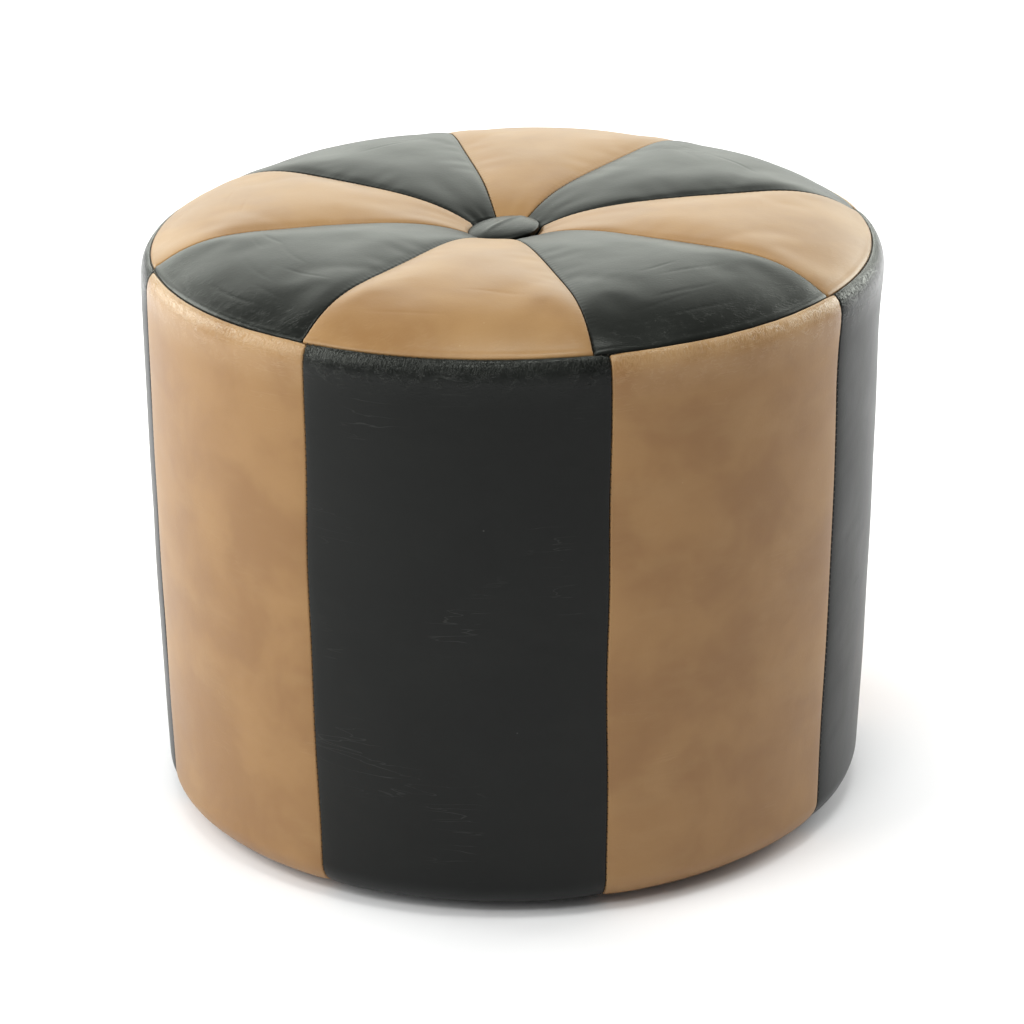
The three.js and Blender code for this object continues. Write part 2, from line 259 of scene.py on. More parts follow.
@dataclass(frozen=True)
class Hide:
    """A smooth finished hide: clouds of colour, fine grain, and wear and painted highlight on the rim bend.
    """

    name: str
    slot: str
    dark: Colour
    base: Colour
    pale: Colour
    rubbed_and_highlight: Colour
    scratch: Colour
    roughness: float
    specular: float
    scratches: float
    specks: float
    crackle: float
    cloud: float = 0.055
    grain: float = 0.0013
    speck_gap: float = 0.018

    def material(self) -> bpy.types.Material:
        """Return the hide's material."""
        graph = Graph(self.name)
        spot = graph.position()
        sheet = graph.layout()
        bend = graph.attribute("bend")
        patches = graph.noise(spot, 1 / self.cloud, 3.0, 0.55, 0.3)
        streaks = graph.noise(graph.placed(spot, (14, 14, 38)), 1.0, 4.0, 0.6)
        flecks = graph.noise(spot, 420, 2.0, 0.7)
        tone = graph.mix(patches.ramp(0.34, 0.66), self.dark, self.base)
        tone = graph.mix(streaks.ramp(0.46, 0.78) * 0.3, tone, self.pale)
        tone = graph.mix(flecks.ramp(0.5, 0.8) * 0.14, tone, self.dark)
        # Rubbed wear and painted highlight: the hide is painted paler, in patches, where it bends over the
        # rim.
        tone = graph.mix(bend * patches.ramp(0.3, 0.6) * 0.35, tone, self.rubbed_and_highlight)

        lines = self._creases(graph, sheet)
        rubs = self._scratches(graph, sheet)
        dots = graph.cells(sheet, 1 / self.speck_gap)
        picks = graph.cells(sheet, 1 / self.speck_gap, output="Color")
        specks = dots.ramp(0.035, 0.02) * graph.split(picks)[0].ramp(0.8, 0.82) * self.specks
        # Painted highlight: the crackle lines are painted paler, as if they caught the light; their relief is
        # in the bump.
        tone = graph.mix(lines * 0.3, tone, self.rubbed_and_highlight)
        tone = graph.mix(rubs * self.scratches, tone, self.scratch)
        tone = graph.mix(specks, tone, self.scratch)

        grain = graph.cells(sheet, 1 / self.grain, "SMOOTH_F1")
        fine = graph.noise(sheet, 2600, 2.0, 0.6)
        swell = graph.noise(spot, 30, 2.0, 0.5)
        height = grain * (0.028 * MM) + fine * (0.012 * MM) + swell * (0.35 * MM)
        height = height + lines * self.crackle - rubs * (0.03 * MM)
        rough = self.roughness + (patches - 0.5) * 0.1 + (fine - 0.5) * 0.08 - bend * 0.17 + rubs * 0.08
        return graph.finish(
            Base_Color=tone,
            Roughness=rough,
            Specular_IOR_Level=self.specular,
            Normal=graph.bump(height),
        )

    @staticmethod
    def _creases(graph: Graph, sheet: Wire) -> Wire:
        """Return the fine crackle of the bend from 0 to 1: upright by the seam, and level further from it.

        Args:
            graph: The material's graph.
            sheet: The hide's flat layout.

        Returns:
            The crackle's strength.
        """
        bend, brink = graph.attribute("bend"), graph.attribute("brink")
        wander = graph.noise(sheet, 150, 2.0, 0.6)
        bent = graph.node("ShaderNodeVectorMath", {"operation": "MULTIPLY_ADD"}, {
            0: wander,
            1: (0.005, 0.005, 0.0),
            2: sheet,
        })
        upright = graph.noise(graph.placed(bent, (640, 170, 1)), 1.0, 2.0, 0.6)
        level = graph.noise(graph.placed(bent, (120, 480, 1)), 1.0, 3.0, 0.6)
        upright = (upright - 0.5).size().ramp(0.11, 0.0) * brink
        level = (level - 0.5).size().ramp(0.08, 0.0) * (bend - brink * 0.8) * wander.ramp(0.42, 0.6)
        return upright + level

    @staticmethod
    def _scratches(graph: Graph, sheet: Wire) -> Wire:
        """Return long fine scratches from 0 to 1."""
        turned = graph.placed(sheet, (13, 120, 1), math.radians(28))
        drift = graph.noise(turned, 1.0, 3.0, 0.5, 0.4)
        patchy = graph.noise(sheet, 17, 2.0).ramp(0.56, 0.7)
        return (drift - 0.5).size().ramp(0.011, 0.002) * patchy


@dataclass(frozen=True)
class Timber:
    """Wood with grain along one axis."""

    name: str
    slot: str
    pale: Colour
    dark: Colour
    stretch: Colour
    roughness: float = 0.62

    def material(self) -> bpy.types.Material:
        """Return the timber's material."""
        graph = Graph(self.name)
        spot = graph.placed(graph.position(), self.stretch)
        rings = graph.node(
            "ShaderNodeTexWave",
            {"wave_type": "BANDS", "bands_direction": "X"},
            {"Vector": spot, "Scale": 0.9, "Distortion": 5.0, "Detail": 3.0, "Detail Scale": 1.4},
            "Fac",
        )
        fibres = graph.noise(spot, 7.0, 4.0, 0.65)
        tone = graph.mix(rings.ramp(0.35, 0.95) * 0.7, self.pale, self.dark)
        tone = graph.mix(fibres.ramp(0.5, 0.8) * 0.4, tone, self.dark)
        height = rings * (0.04 * MM) + fibres * (0.05 * MM)
        return graph.finish(
            Base_Color=tone,
            Roughness=self.roughness + fibres * 0.12,
            Normal=graph.bump(height),
        )


@dataclass(frozen=True)
class Fibre:
    """A fibrous or open-celled stuff, such as hardboard, foam or wadding."""

    name: str
    slot: str
    pale: Colour
    dark: Colour
    cell: float
    depth: float
    roughness: float = 0.92
    sheen: float = 0.0

    def material(self) -> bpy.types.Material:
        """Return the material."""
        graph = Graph(self.name)
        spot = graph.position()
        pores = graph.cells(spot, 1 / self.cell)
        clump = graph.noise(spot, 0.18 / self.cell, 4.0, 0.6)
        broad = graph.noise(spot, 14, 2.0)
        # Painted shade: each pore is painted darker towards its middle, where the bump sinks.
        tone = graph.mix(pores.ramp(0.15, 0.75), self.dark, self.pale)
        tone = graph.mix(clump.ramp(0.45, 0.75) * 0.45, tone, self.dark)
        tone = graph.mix(broad.ramp(0.5, 0.8) * 0.25, tone, self.dark)
        height = (pores * 0.7 + clump * 0.5) * self.depth
        return graph.finish(
            Base_Color=tone,
            Roughness=self.roughness - clump * 0.08,
            Sheen_Weight=self.sheen,
            Normal=graph.bump(height),
        )


@dataclass(frozen=True)
class Woven:
    """A thin plain-woven cloth, laid out on its own UV map."""

    name: str
    slot: str
    base: Colour
    thread: Colour
    pitch: float = 0.0009

    def material(self) -> bpy.types.Material:
        """Return the cloth's material."""
        graph = Graph(self.name)
        across, along, _ = graph.split(graph.layout())
        turn = 2 * math.pi / self.pitch
        weave = (across * turn).sine() * (along * turn).sine()
        slub = graph.noise(graph.placed(graph.layout(), (900, 60, 1)), 1.0, 3.0)
        dust = graph.noise(graph.layout(), 22, 4.0, 0.65)
        # Painted shade: the low spots of the weave are painted darker than the threads that cross over them.
        tone = graph.mix(weave.ramp(-0.6, 0.8) * 0.6, self.base, self.thread)
        tone = graph.mix(slub.ramp(0.55, 0.8) * 0.4, tone, self.thread)
        tone = graph.mix(dust.ramp(0.52, 0.8) * 0.25, tone, grey(0.12))
        height = weave * (0.05 * MM) + slub * (0.05 * MM)
        return graph.finish(
            Base_Color=tone,
            Roughness=0.9 - slub * 0.06,
            Sheen_Weight=0.15,
            Normal=graph.bump(height),
        )


@dataclass(frozen=True)
class Metal:
    """Plated steel with fine brush marks and a little tarnish."""

    name: str
    slot: str
    base: Colour
    dull: Colour
    roughness: float = 0.3

    def material(self) -> bpy.types.Material:
        """Return the metal's material."""
        graph = Graph(self.name)
        spot = graph.position()
        brush = graph.noise(graph.placed(spot, (300, 300, 4200)), 1.0, 3.0)
        stain = graph.noise(spot, 190, 4.0, 0.65)
        tone = graph.mix(stain.ramp(0.45, 0.75) * 0.7, self.base, self.dull)
        rough = self.roughness + stain.ramp(0.4, 0.8) * 0.22 + (brush - 0.5) * 0.12
        return graph.finish(
            Base_Color=tone,
            Metallic=1.0,
            Roughness=rough,
            Normal=graph.bump(brush * (0.01 * MM)),
        )


@dataclass(frozen=True)
class Plastic:
    """Moulded plastic with a fine spark-eroded texture and scuffs."""

    name: str
    slot: str
    base: Colour
    scuff: Colour
    roughness: float = 0.48

    def material(self) -> bpy.types.Material:
        """Return the plastic's material."""
        graph = Graph(self.name)
        spot = graph.position()
        texture = graph.noise(spot, 2400, 2.0, 0.6)
        scuffs = graph.noise(graph.placed(spot, (900, 120, 300), 0.6), 1.0, 3.0).ramp(0.6, 0.75)
        tone = graph.mix(scuffs * 0.5, self.base, self.scuff)
        height = texture * (0.02 * MM) - scuffs * (0.02 * MM)
        return graph.finish(
            Base_Color=tone,
            Roughness=self.roughness + scuffs * 0.2,
            Normal=graph.bump(height),
        )


@dataclass(frozen=True)
class Strand:
    """Twisted thread or twine, whose plies run round it in a spiral, with painted shade in the grooves."""

    name: str
    slot: str
    base: Colour
    groove: Colour
    lay: float = 0.0011
    roughness: float = 0.75

    def material(self) -> bpy.types.Material:
        """Return the thread's material."""
        graph = Graph(self.name)
        x, y, z = graph.split(graph.position())
        ply = ((x + y + z) * (2 * math.pi / self.lay)).sine()
        fuzz = graph.noise(graph.position(), 3000, 3.0, 0.65)
        # Painted shade: the grooves between the plies are painted darker; the fuzz darkens the tone at
        # random.
        tone = graph.mix(ply.ramp(-0.9, 0.3), self.groove, self.base)
        tone = graph.mix(fuzz.ramp(0.5, 0.8) * 0.4, tone, self.groove)
        return graph.finish(
            Base_Color=tone,
            Roughness=self.roughness + fuzz * 0.15,
            Normal=graph.bump(ply * (0.05 * MM) + fuzz * (0.04 * MM)),
        )


# Each hide's paler rim colour is partly rubbed wear and partly painted highlight on the rim bend.
TAN = Hide(
    "tan_hide", "tan_leather",
    dark=(0.24, 0.123, 0.047), base=(0.288, 0.156, 0.062), pale=(0.335, 0.202, 0.09), rubbed_and_highlight=(0.43, 0.28, 0.16),
    scratch=(0.5, 0.36, 0.22), roughness=0.43, specular=0.32, scratches=0.08, specks=0.2,
    crackle=0.1 * MM,
)
BLACK = Hide(
    "black_hide", "black_leather",
    dark=(0.0028, 0.0034, 0.003), base=(0.0038, 0.0045, 0.004), pale=(0.0064, 0.0072, 0.0064),
    rubbed_and_highlight=(0.014, 0.0148, 0.0138), scratch=(0.05, 0.052, 0.049), roughness=0.38, specular=0.21, scratches=0.3,
    specks=0.7, crackle=0.2 * MM,
)
PLYWOOD = Timber("plywood_grain", "plywood", (0.62, 0.44, 0.25), (0.45, 0.28, 0.14), (9, 70, 70))
PINE = Timber("pine_grain", "pine", (0.68, 0.5, 0.29), (0.5, 0.31, 0.15), (120, 90, 6))
HARDBOARD = Fibre(
    "hardboard_fibre", "hardboard", (0.22, 0.12, 0.062), (0.12, 0.062, 0.03), 0.0016, 0.12 * MM, 0.75
)
FOAM = Fibre("foam_cells", "padding_foam", (0.8, 0.74, 0.5), (0.56, 0.47, 0.27), 0.0011, 0.5 * MM)
WADDING = Fibre(
    "wadding_fibres", "wadding", (0.86, 0.86, 0.83), (0.66, 0.66, 0.64), 0.003, 0.8 * MM, 0.97, 0.4
)
CAMBRIC = Woven("cambric_weave", "cambric", (0.008, 0.008, 0.009), (0.03, 0.03, 0.032))
ZINC = Metal("zinc_plate", "zinc_steel", (0.5, 0.51, 0.52), (0.33, 0.33, 0.33))
NYLON = Plastic("glide_nylon", "glide_plastic", (0.021, 0.021, 0.021), (0.09, 0.09, 0.088))
TWINE = Strand("tufting_twine", "twine", (0.62, 0.55, 0.4), (0.3, 0.25, 0.16))
THREAD = Strand("seam_thread", "twine", (0.05, 0.032, 0.022), (0.012, 0.008, 0.006), 0.0006, 0.6)


# ----------------------------------------------------------------------
# Meshes
# ----------------------------------------------------------------------


def make_object(name: str, points: np.ndarray, faces: Sequence[Sequence[int]]) -> bpy.types.Object:
    """Make a smooth-shaded mesh object at the origin.

    Args:
        name: The object's name.
        points: Its vertices, in metres, one row each.
        faces: Vertex indices, one sequence for each face.

    Returns:
        The object, linked into the scene.
    """
    mesh = bpy.data.meshes.new(name)
    mesh.from_pydata([tuple(point) for point in points.tolist()], [], faces)
    mesh.validate()
    mesh.shade_smooth()
    piece = bpy.data.objects.new(name, mesh)
    bpy.context.scene.collection.objects.link(piece)
    return piece


def grid_faces(rows: int, columns: int, wrap: bool = False, start: int = 0) -> list[tuple[int, ...]]:
    """Return the quads of a grid of vertices, row by row, which may join round its columns.

    Args:
        rows: How many rows of vertices there are.
        columns: How many vertices a row has.
        wrap: True if the last column joins the first.
        start: The number of the grid's first vertex.

    Returns:
        Four vertex numbers for each face.
    """
    row, column = np.meshgrid(np.arange(rows - 1), np.arange(columns - (not wrap)), indexing="ij")
    after = (column + 1) % columns
    below = (row + 1) * columns
    corners = [row * columns + column, row * columns + after, below + after, below + column]
    return [tuple(face) for face in (np.stack(corners, -1).reshape(-1, 4) + start).tolist()]


def turned_piece(name: str, grid: np.ndarray, poles: bool) -> bpy.types.Object:
    """Make a closed piece from section lines that stand side by side all round the axis.

    Args:
        name: The piece's name.
        grid: Points as rows x columns x 3. A row runs round the axis, and a column runs along the section.
        poles: True if the section starts and ends on the axis, False if it closes on itself.

    Returns:
        The closed piece, with its faces outwards.
    """
    rows, columns = grid.shape[:2]
    points = grid.reshape(-1, 3)
    faces = grid_faces(rows, columns, wrap=True)
    ends = [(column, (column + 1) % columns) for column in range(columns)]
    last = (rows - 1) * columns
    if poles:
        points = np.concatenate([points, grid[:1].mean(1), grid[-1:].mean(1)])
        faces += [(b, a, rows * columns) for a, b in ends]
        faces += [(last + a, last + b, rows * columns + 1) for a, b in ends]
    else:
        faces += [(last + a, last + b, b, a) for a, b in ends]
    piece = make_object(name, points, faces)
    face_out(piece)
    return piece


def border_loop(rows: int, columns: int) -> list[int]:
    """Return the vertex numbers round the outside of a grid, in order.

    Args:
        rows: How many rows of vertices there are.
        columns: How many vertices a row has.

    Returns:
        The numbers, with none repeated.
    """
    top = list(range(columns))
    right = [row * columns + columns - 1 for row in range(1, rows)]
    bottom = [(rows - 1) * columns + column for column in range(columns - 2, -1, -1)]
    left = [row * columns for row in range(rows - 2, 0, -1)]
    return top + right + bottom + left


def grid_normals(grid: np.ndarray, wrap: bool = False) -> np.ndarray:
    """Return the unit normals of a grid of points, as rows x columns x 3.

    Args:
        grid: The points, as rows x columns x 3.
        wrap: True if the last column joins the first.

    Returns:
        The normals, which all lie on the same side of the grid.
    """
    down = np.gradient(grid, axis=0)
    if wrap:
        across = (np.roll(grid, -1, axis=1) - np.roll(grid, 1, axis=1)) / 2
    else:
        across = np.gradient(grid, axis=1)
    normals = np.cross(across, down)
    return normals / np.maximum(np.linalg.norm(normals, axis=2, keepdims=True), 1e-12)


def set_attribute(piece: bpy.types.Object, name: str, values: np.ndarray) -> None:
    """Store one number for each vertex."""
    stored = piece.data.attributes.new(name, "FLOAT", "POINT")
    stored.data.foreach_set("value", values.astype(np.float32).ravel())


def set_layout(piece: bpy.types.Object, flat: np.ndarray) -> None:
    """Store a UV map, in metres, from one flat point for each vertex."""
    layer = piece.data.uv_layers.new(name="hide")
    corners = np.empty(len(piece.data.loops), dtype=np.int32)
    piece.data.loops.foreach_get("vertex_index", corners)
    layer.data.foreach_set("uv", flat[corners].astype(np.float32).ravel())


def vertex_points(piece: bpy.types.Object) -> np.ndarray:
    """Return a piece's vertices, one row each."""
    points = np.empty(len(piece.data.vertices) * 3, dtype=np.float32)
    piece.data.vertices.foreach_get("co", points)
    return points.reshape(-1, 3)


def around(radius: np.ndarray | float, azimuth: np.ndarray, height: np.ndarray | float) -> np.ndarray:
    """Return points round the axis, with their coordinates along the last axis of the array."""
    parts = np.broadcast_arrays(radius * np.sin(azimuth), -radius * np.cos(azimuth), height)
    return np.stack(parts, -1)


def ring(radius: float, height: float, azimuth: np.ndarray) -> np.ndarray:
    """Return one row of points round the axis, as a grid with a single row."""
    return around(radius, azimuth, height)[None]


def full_circle(count: int) -> np.ndarray:
    """Return evenly spaced azimuths all the way round."""
    return np.arange(count) * 2 * math.pi / count


def face_out(piece: bpy.types.Object) -> None:
    """Make every face of a closed mesh point outwards."""
    shape = bmesh.new()
    shape.from_mesh(piece.data)
    bmesh.ops.recalc_face_normals(shape, faces=shape.faces)
    if shape.calc_volume(signed=True) < 0:
        bmesh.ops.reverse_faces(shape, faces=shape.faces)
    shape.to_mesh(piece.data)
    shape.free()


def dress(
    piece: bpy.types.Object, material: bpy.types.Material, slot: str, *replaced: str
) -> bpy.types.Object:
    """Give a piece its material, seat it on the body, and let it stand for frame nodes.

    Args:
        piece: The piece.
        material: Its only material.
        slot: The name of the frame's material slot. Not used.
        replaced: The frame nodes that it stands for, if any.

    Returns:
        The same piece.
    """
    piece.data.materials.clear()
    piece.data.materials.append(material)
    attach(piece, BODY)
    if replaced:
        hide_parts(*replaced)
    LOG.info("%s: %d faces", piece.name, len(piece.data.polygons))
    return piece


def smooth_step(values: np.ndarray, low: float, high: float) -> np.ndarray:
    """Return a smooth step from 0 at low to 1 at high."""
    share = np.clip((values - low) / (high - low), 0, 1)
    return share * share * (3 - 2 * share)


def mound(distance: np.ndarray, width: float) -> np.ndarray:
    """Return a bell curve that is 1 at no distance and dies away past the width."""
    return np.exp(-((distance / width) ** 2))


def cubic_weights(share: np.ndarray) -> list[np.ndarray]:
    """Return the weights of four neighbours at a share of the way between the middle two.

    Args:
        share: Shares from 0 to 1.

    Returns:
        Four arrays of that shape, which add up to 1.
    """
    return [
        -0.5 * share + share**2 - 0.5 * share**3,
        1 - 2.5 * share**2 + 1.5 * share**3,
        0.5 * share + 2 * share**2 - 1.5 * share**3,
        -0.5 * share**2 + 0.5 * share**3,
    ]


def resample(field: np.ndarray, rows: np.ndarray, columns: np.ndarray) -> np.ndarray:
    """Read a field of numbers smoothly between its grid points.

    Args:
        field: Values on a grid.
        rows: Row places, in grid steps.
        columns: Column places, in grid steps, of the same shape as rows.

    Returns:
        The values there, by cubic interpolation, held at the edges.
    """
    row, column = np.floor(rows).astype(int), np.floor(columns).astype(int)
    result = np.zeros(rows.shape)
    for i, row_weight in enumerate(cubic_weights(rows - row)):
        for j, column_weight in enumerate(cubic_weights(columns - column)):
            near_row = np.clip(row + i - 1, 0, field.shape[0] - 1)
            near_column = np.clip(column + j - 1, 0, field.shape[1] - 1)
            result += row_weight * column_weight * field[near_row, near_column]
    return result


# ----------------------------------------------------------------------
# Sizes and section lines
# ----------------------------------------------------------------------


def united_box(start: str) -> tuple[Vector, Vector]:
    """Return the box round every frame node whose name starts with some letters."""
    boxes = [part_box(name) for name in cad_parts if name.startswith(start)]
    low = Vector(min(box[0][axis] for box in boxes) for axis in range(3))
    high = Vector(max(box[1][axis] for box in boxes) for axis in range(3))
    return low, high


@dataclass(frozen=True)
class Sizes:
    """The sizes that the cover shares. Those the frame states are read from it."""

    rim_radius: float
    seam_height: float
    hide_low: float
    button_radius: float
    hide: float = 1.6 * MM
    skived: float = 0.8 * MM
    edge_roll: float = 1.0 * MM
    seam_gap: float = 0.12 * MM
    waist_in: float = 1.6 * MM
    hem_in: float = 6.0 * MM
    seam_in: float = 5.9 * MM
    corner: float = 20.0 * MM
    rim_roll: float = 13.0 * MM
    turn_under: float = 175.0 * MM
    under_height: float = 6.1 * MM
    stitch: float = 4.0 * MM
    side_lag: float = math.radians(2.2)
    lean: float = 3.8 * MM
    lean_azimuth: float = math.radians(78.0)

    @classmethod
    def from_frame(cls) -> "Sizes":
        """Read the driving sizes from the frame's nodes."""
        side_low, side_high = united_box("side_panel")
        button_low, button_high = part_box("button_cover")
        return cls(
            rim_radius=(side_high.x - side_low.x) / 2,
            seam_height=side_high.z,
            hide_low=side_low.z,
            button_radius=(button_high.x - button_low.x) / 2,
        )

    @property
    def seam_radius(self) -> float:
        """Radius of the seam between the side and the seat."""
        return self.rim_radius - self.seam_in

    def shifted(self, points: np.ndarray) -> np.ndarray:
        """Lean points a little to one side: more the higher they are, and not at all under the button.

        Args:
            points: Points with their coordinates along the last axis.

        Returns:
            The leaning points.
        """
        outer = smooth_step(np.hypot(points[..., 0], points[..., 1]), 30 * MM, 170 * MM)
        amount = self.lean * outer * points[..., 2] / self.seam_height
        moved = points.copy()
        moved[..., 0] += amount * math.sin(self.lean_azimuth)
        moved[..., 1] -= amount * math.cos(self.lean_azimuth)
        return moved


class Contour:
    """A section line of the cover, measured along its length."""

    def __init__(self, stretches: Sequence[np.ndarray]) -> None:
        """Join stretches of (radius, height) points into one line."""
        points = np.concatenate([stretches[0]] + [stretch[1:] for stretch in stretches[1:]])
        steps = np.linalg.norm(np.diff(points, axis=0), axis=1)
        self.points = points
        self.along = np.concatenate([[0.0], np.cumsum(steps)])
        self.length = float(self.along[-1])
        slope = np.gradient(points, self.along, axis=0)
        window = np.ones(9) / 9
        soft = np.stack([np.convolve(np.pad(slope[:, i], 4, "edge"), window, "valid") for i in (0, 1)], 1)
        self.slope = soft / np.linalg.norm(soft, axis=1, keepdims=True)

    def place(self, along: np.ndarray) -> tuple[np.ndarray, np.ndarray]:
        """Return the radius and height at distances along the line."""
        radius = np.interp(along, self.along, self.points[:, 0])
        return radius, np.interp(along, self.along, self.points[:, 1])

    def outward(self, along: np.ndarray) -> tuple[np.ndarray, np.ndarray]:
        """Return the outward normal's two parts. The line runs up the outside and in over the top."""
        radial = np.interp(along, self.along, self.slope[:, 0])
        upward = np.interp(along, self.along, self.slope[:, 1])
        return upward, -radial


def straight(start: Spot, end: Spot, count: int = 60) -> np.ndarray:
    """Return points on a straight line."""
    return np.linspace(start, end, count)


def bowed(start: Spot, pull: Spot, end: Spot, count: int = 200) -> np.ndarray:
    """Return points on a quadratic curve."""
    share = np.linspace(0, 1, count)[:, None]
    middle = 2 * share * (1 - share) * np.array(pull)
    return (1 - share) ** 2 * np.array(start) + middle + share**2 * np.array(end)


def arc(centre: Spot, radii: Spot, start: float, end: float, count: int = 80) -> np.ndarray:
    """Return points on an arc of an ellipse."""
    angle = np.linspace(start, end, count)
    return np.stack([centre[0] + radii[0] * np.cos(angle), centre[1] + radii[1] * np.sin(angle)], 1)


def side_contour(sizes: Sizes) -> Contour:
    """Return the side's line: from its raw edge under the base, up, and over the rim to the seam.

    Args:
        sizes: The cover's sizes.

    Returns:
        The line.
    """
    hem = sizes.rim_radius - sizes.hem_in
    waist = sizes.rim_radius - sizes.waist_in
    corner = (hem - sizes.corner, sizes.hide_low + sizes.corner)
    flange = (corner[0] - sizes.corner / 2, sizes.under_height)
    roll_start = sizes.seam_height - sizes.rim_roll
    pull = 2 * waist - (hem + sizes.rim_radius) / 2
    return Contour([
        straight((sizes.turn_under, sizes.under_height), flange),
        bowed(flange, (corner[0] - sizes.corner / 4, sizes.hide_low), (corner[0], sizes.hide_low)),
        arc(corner, (sizes.corner, sizes.corner), -math.pi / 2, 0),
        bowed((hem, corner[1]), (pull, (corner[1] + roll_start) / 2), (sizes.rim_radius, roll_start)),
        arc((sizes.seam_radius, roll_start), (sizes.seam_in, sizes.rim_roll), 0, math.pi / 2),
    ])


def seat_contour(sizes: Sizes) -> Contour:
    """Return the seat's line along a seam: from the rim seam in to the middle, under the button.

    Args:
        sizes: The cover's sizes.

    Returns:
        The line.
    """
    rise, shoulder, power = 19.0 * MM, 75.0 * MM, 3.0
    tuft_depth, tuft_radius, tuft_power = 24.0 * MM, 32.0 * MM, 1.2
    pocket_radius, pocket_floor = 25.0 * MM, -2.0 * MM
    radius = np.linspace(sizes.seam_radius, 5 * MM, 1200)
    inwards = np.clip((sizes.seam_radius - radius) / shoulder, 0, 1)
    height = rise * (1 - (1 - inwards) ** power)
    height -= tuft_depth * np.exp(-((radius / tuft_radius) ** tuft_power))
    edge = float(np.interp(pocket_radius, radius[::-1], height[::-1]))
    sunk = pocket_floor + (edge - pocket_floor) * smooth_step(radius, 16 * MM, pocket_radius)
    height = np.where(radius < pocket_radius, sunk, height)
    return Contour([np.stack([radius, sizes.seam_height + height], 1)])


# ----------------------------------------------------------------------
# Cloth
# ----------------------------------------------------------------------


@dataclass(frozen=True)
class Blow:
    """How a pinned skin is blown up between its seams."""

    pressure: float
    slack: float
    frames: int
    cap: float
    smoothing: int
    stiffness: float = 18.0
    bending: float = 1.5


def blown(grid: np.ndarray, pinned: np.ndarray, blow: Blow) -> np.ndarray:
    """Blow a skin up with Cloth.

    Args:
        grid: Points as rows x columns x 3, whose columns join up round the pouf.
        pinned: Which of them the seams hold, as rows x columns.
        blow: The pressure and the skin's give.

    Returns:
        How far each point moved outwards, in metres, with no point past the cap.
    """
    rows, columns = pinned.shape
    skin = make_object("blown_skin", grid.reshape(-1, 3), grid_faces(rows, columns, wrap=True))
    held = skin.vertex_groups.new(name="held")
    held.add(np.flatnonzero(pinned.ravel()).tolist(), 1.0, "REPLACE")
    cloth = skin.modifiers.new("cloth", "CLOTH")
    settings = cloth.settings
    settings.quality = 6
    settings.mass = 0.35
    settings.air_damping = 4.0
    settings.tension_stiffness = settings.compression_stiffness = blow.stiffness
    settings.shear_stiffness = blow.stiffness / 3
    settings.bending_stiffness = blow.bending
    settings.use_pressure = True
    settings.uniform_pressure_force = blow.pressure
    settings.effector_weights.gravity = 0.0
    settings.vertex_group_mass = held.name
    settings.shrink_min = -blow.slack
    cloth.collision_settings.use_collision = False
    cloth.point_cache.frame_end = blow.frames
    scene = bpy.context.scene
    for step in range(1, blow.frames + 1):
        scene.frame_set(step)
    shaped = skin.evaluated_get(bpy.context.evaluated_depsgraph_get())
    moved = vertex_points(shaped).reshape(rows, columns, 3) - grid
    outwards = np.einsum("ijk,ijk->ij", moved, grid_normals(grid, wrap=True))
    if np.median(outwards[~pinned]) < 0:
        outwards = -outwards
    mesh = skin.data
    bpy.data.objects.remove(skin)
    bpy.data.meshes.remove(mesh)
    scene.frame_set(1)
    LOG.info("cloth: moved up to %.1f mm", outwards.max() / MM)
    return eased(np.clip(outwards, -blow.cap / 4, blow.cap), pinned, blow.smoothing)


def eased(field: np.ndarray, pinned: np.ndarray, passes: int) -> np.ndarray:
    """Return a field whose small ripples are smoothed out, with its pinned points left where they are.

    Args:
        field: Values on a grid whose columns join up.
        pinned: Which of them the seams hold.
        passes: How many times each value is averaged with its neighbours.

    Returns:
        Mostly the smoothed field, with a little of the first one for liveliness.
    """
    smooth = field.copy()
    for _ in range(passes):
        beside = (np.roll(smooth, 1, axis=1) + np.roll(smooth, -1, axis=1)) / 2
        padded = np.pad(smooth, ((1, 1), (0, 0)), "edge")
        above = (padded[:-2] + padded[2:]) / 2
        smooth = np.where(pinned, field, smooth / 2 + (beside + above) / 4)
    return 0.82 * smooth + 0.18 * field


# ----------------------------------------------------------------------
# The cover
# ----------------------------------------------------------------------


class Panel(Enum):
    """Which colour a panel of the cover is cut from."""

    TAN = "tan"
    BLACK = "black"


@dataclass(frozen=True)
class SeamLine:
    """A seam that wanders a little, as one sewn by hand and stretched over foam does."""

    azimuth: float
    phase: float
    wander: float = 0.6 * MM
    long_wave: float = 47 * MM
    short_wave: float = 19 * MM
    pull_wave: float = 31 * MM
    steady_radius: float = 60 * MM

    def at(self, along: np.ndarray, radius: np.ndarray) -> np.ndarray:
        """Return the seam's azimuth at places along the section line."""
        drift = np.sin(along / self.long_wave + self.phase)
        drift = drift + 0.6 * np.sin(along / self.short_wave + 2.3 * self.phase)
        fade = np.clip(radius / self.steady_radius, 0, 1)
        return self.azimuth + self.wander * drift * fade / np.maximum(radius, 0.02)

    def pull(self, along: np.ndarray, pitch: float) -> np.ndarray:
        """Return how hard the stitches pull the seam in, from 0 between them to 1 at each."""
        slip = 0.35 * np.sin(along / self.pull_wave + self.phase)
        return 0.5 + 0.5 * np.cos(2 * math.pi * along / pitch + slip)


# How far the first rows and columns of a panel are folded down into a seam.
TURN_DOWN = np.array([3.0, 1.5, 0.6]) * MM


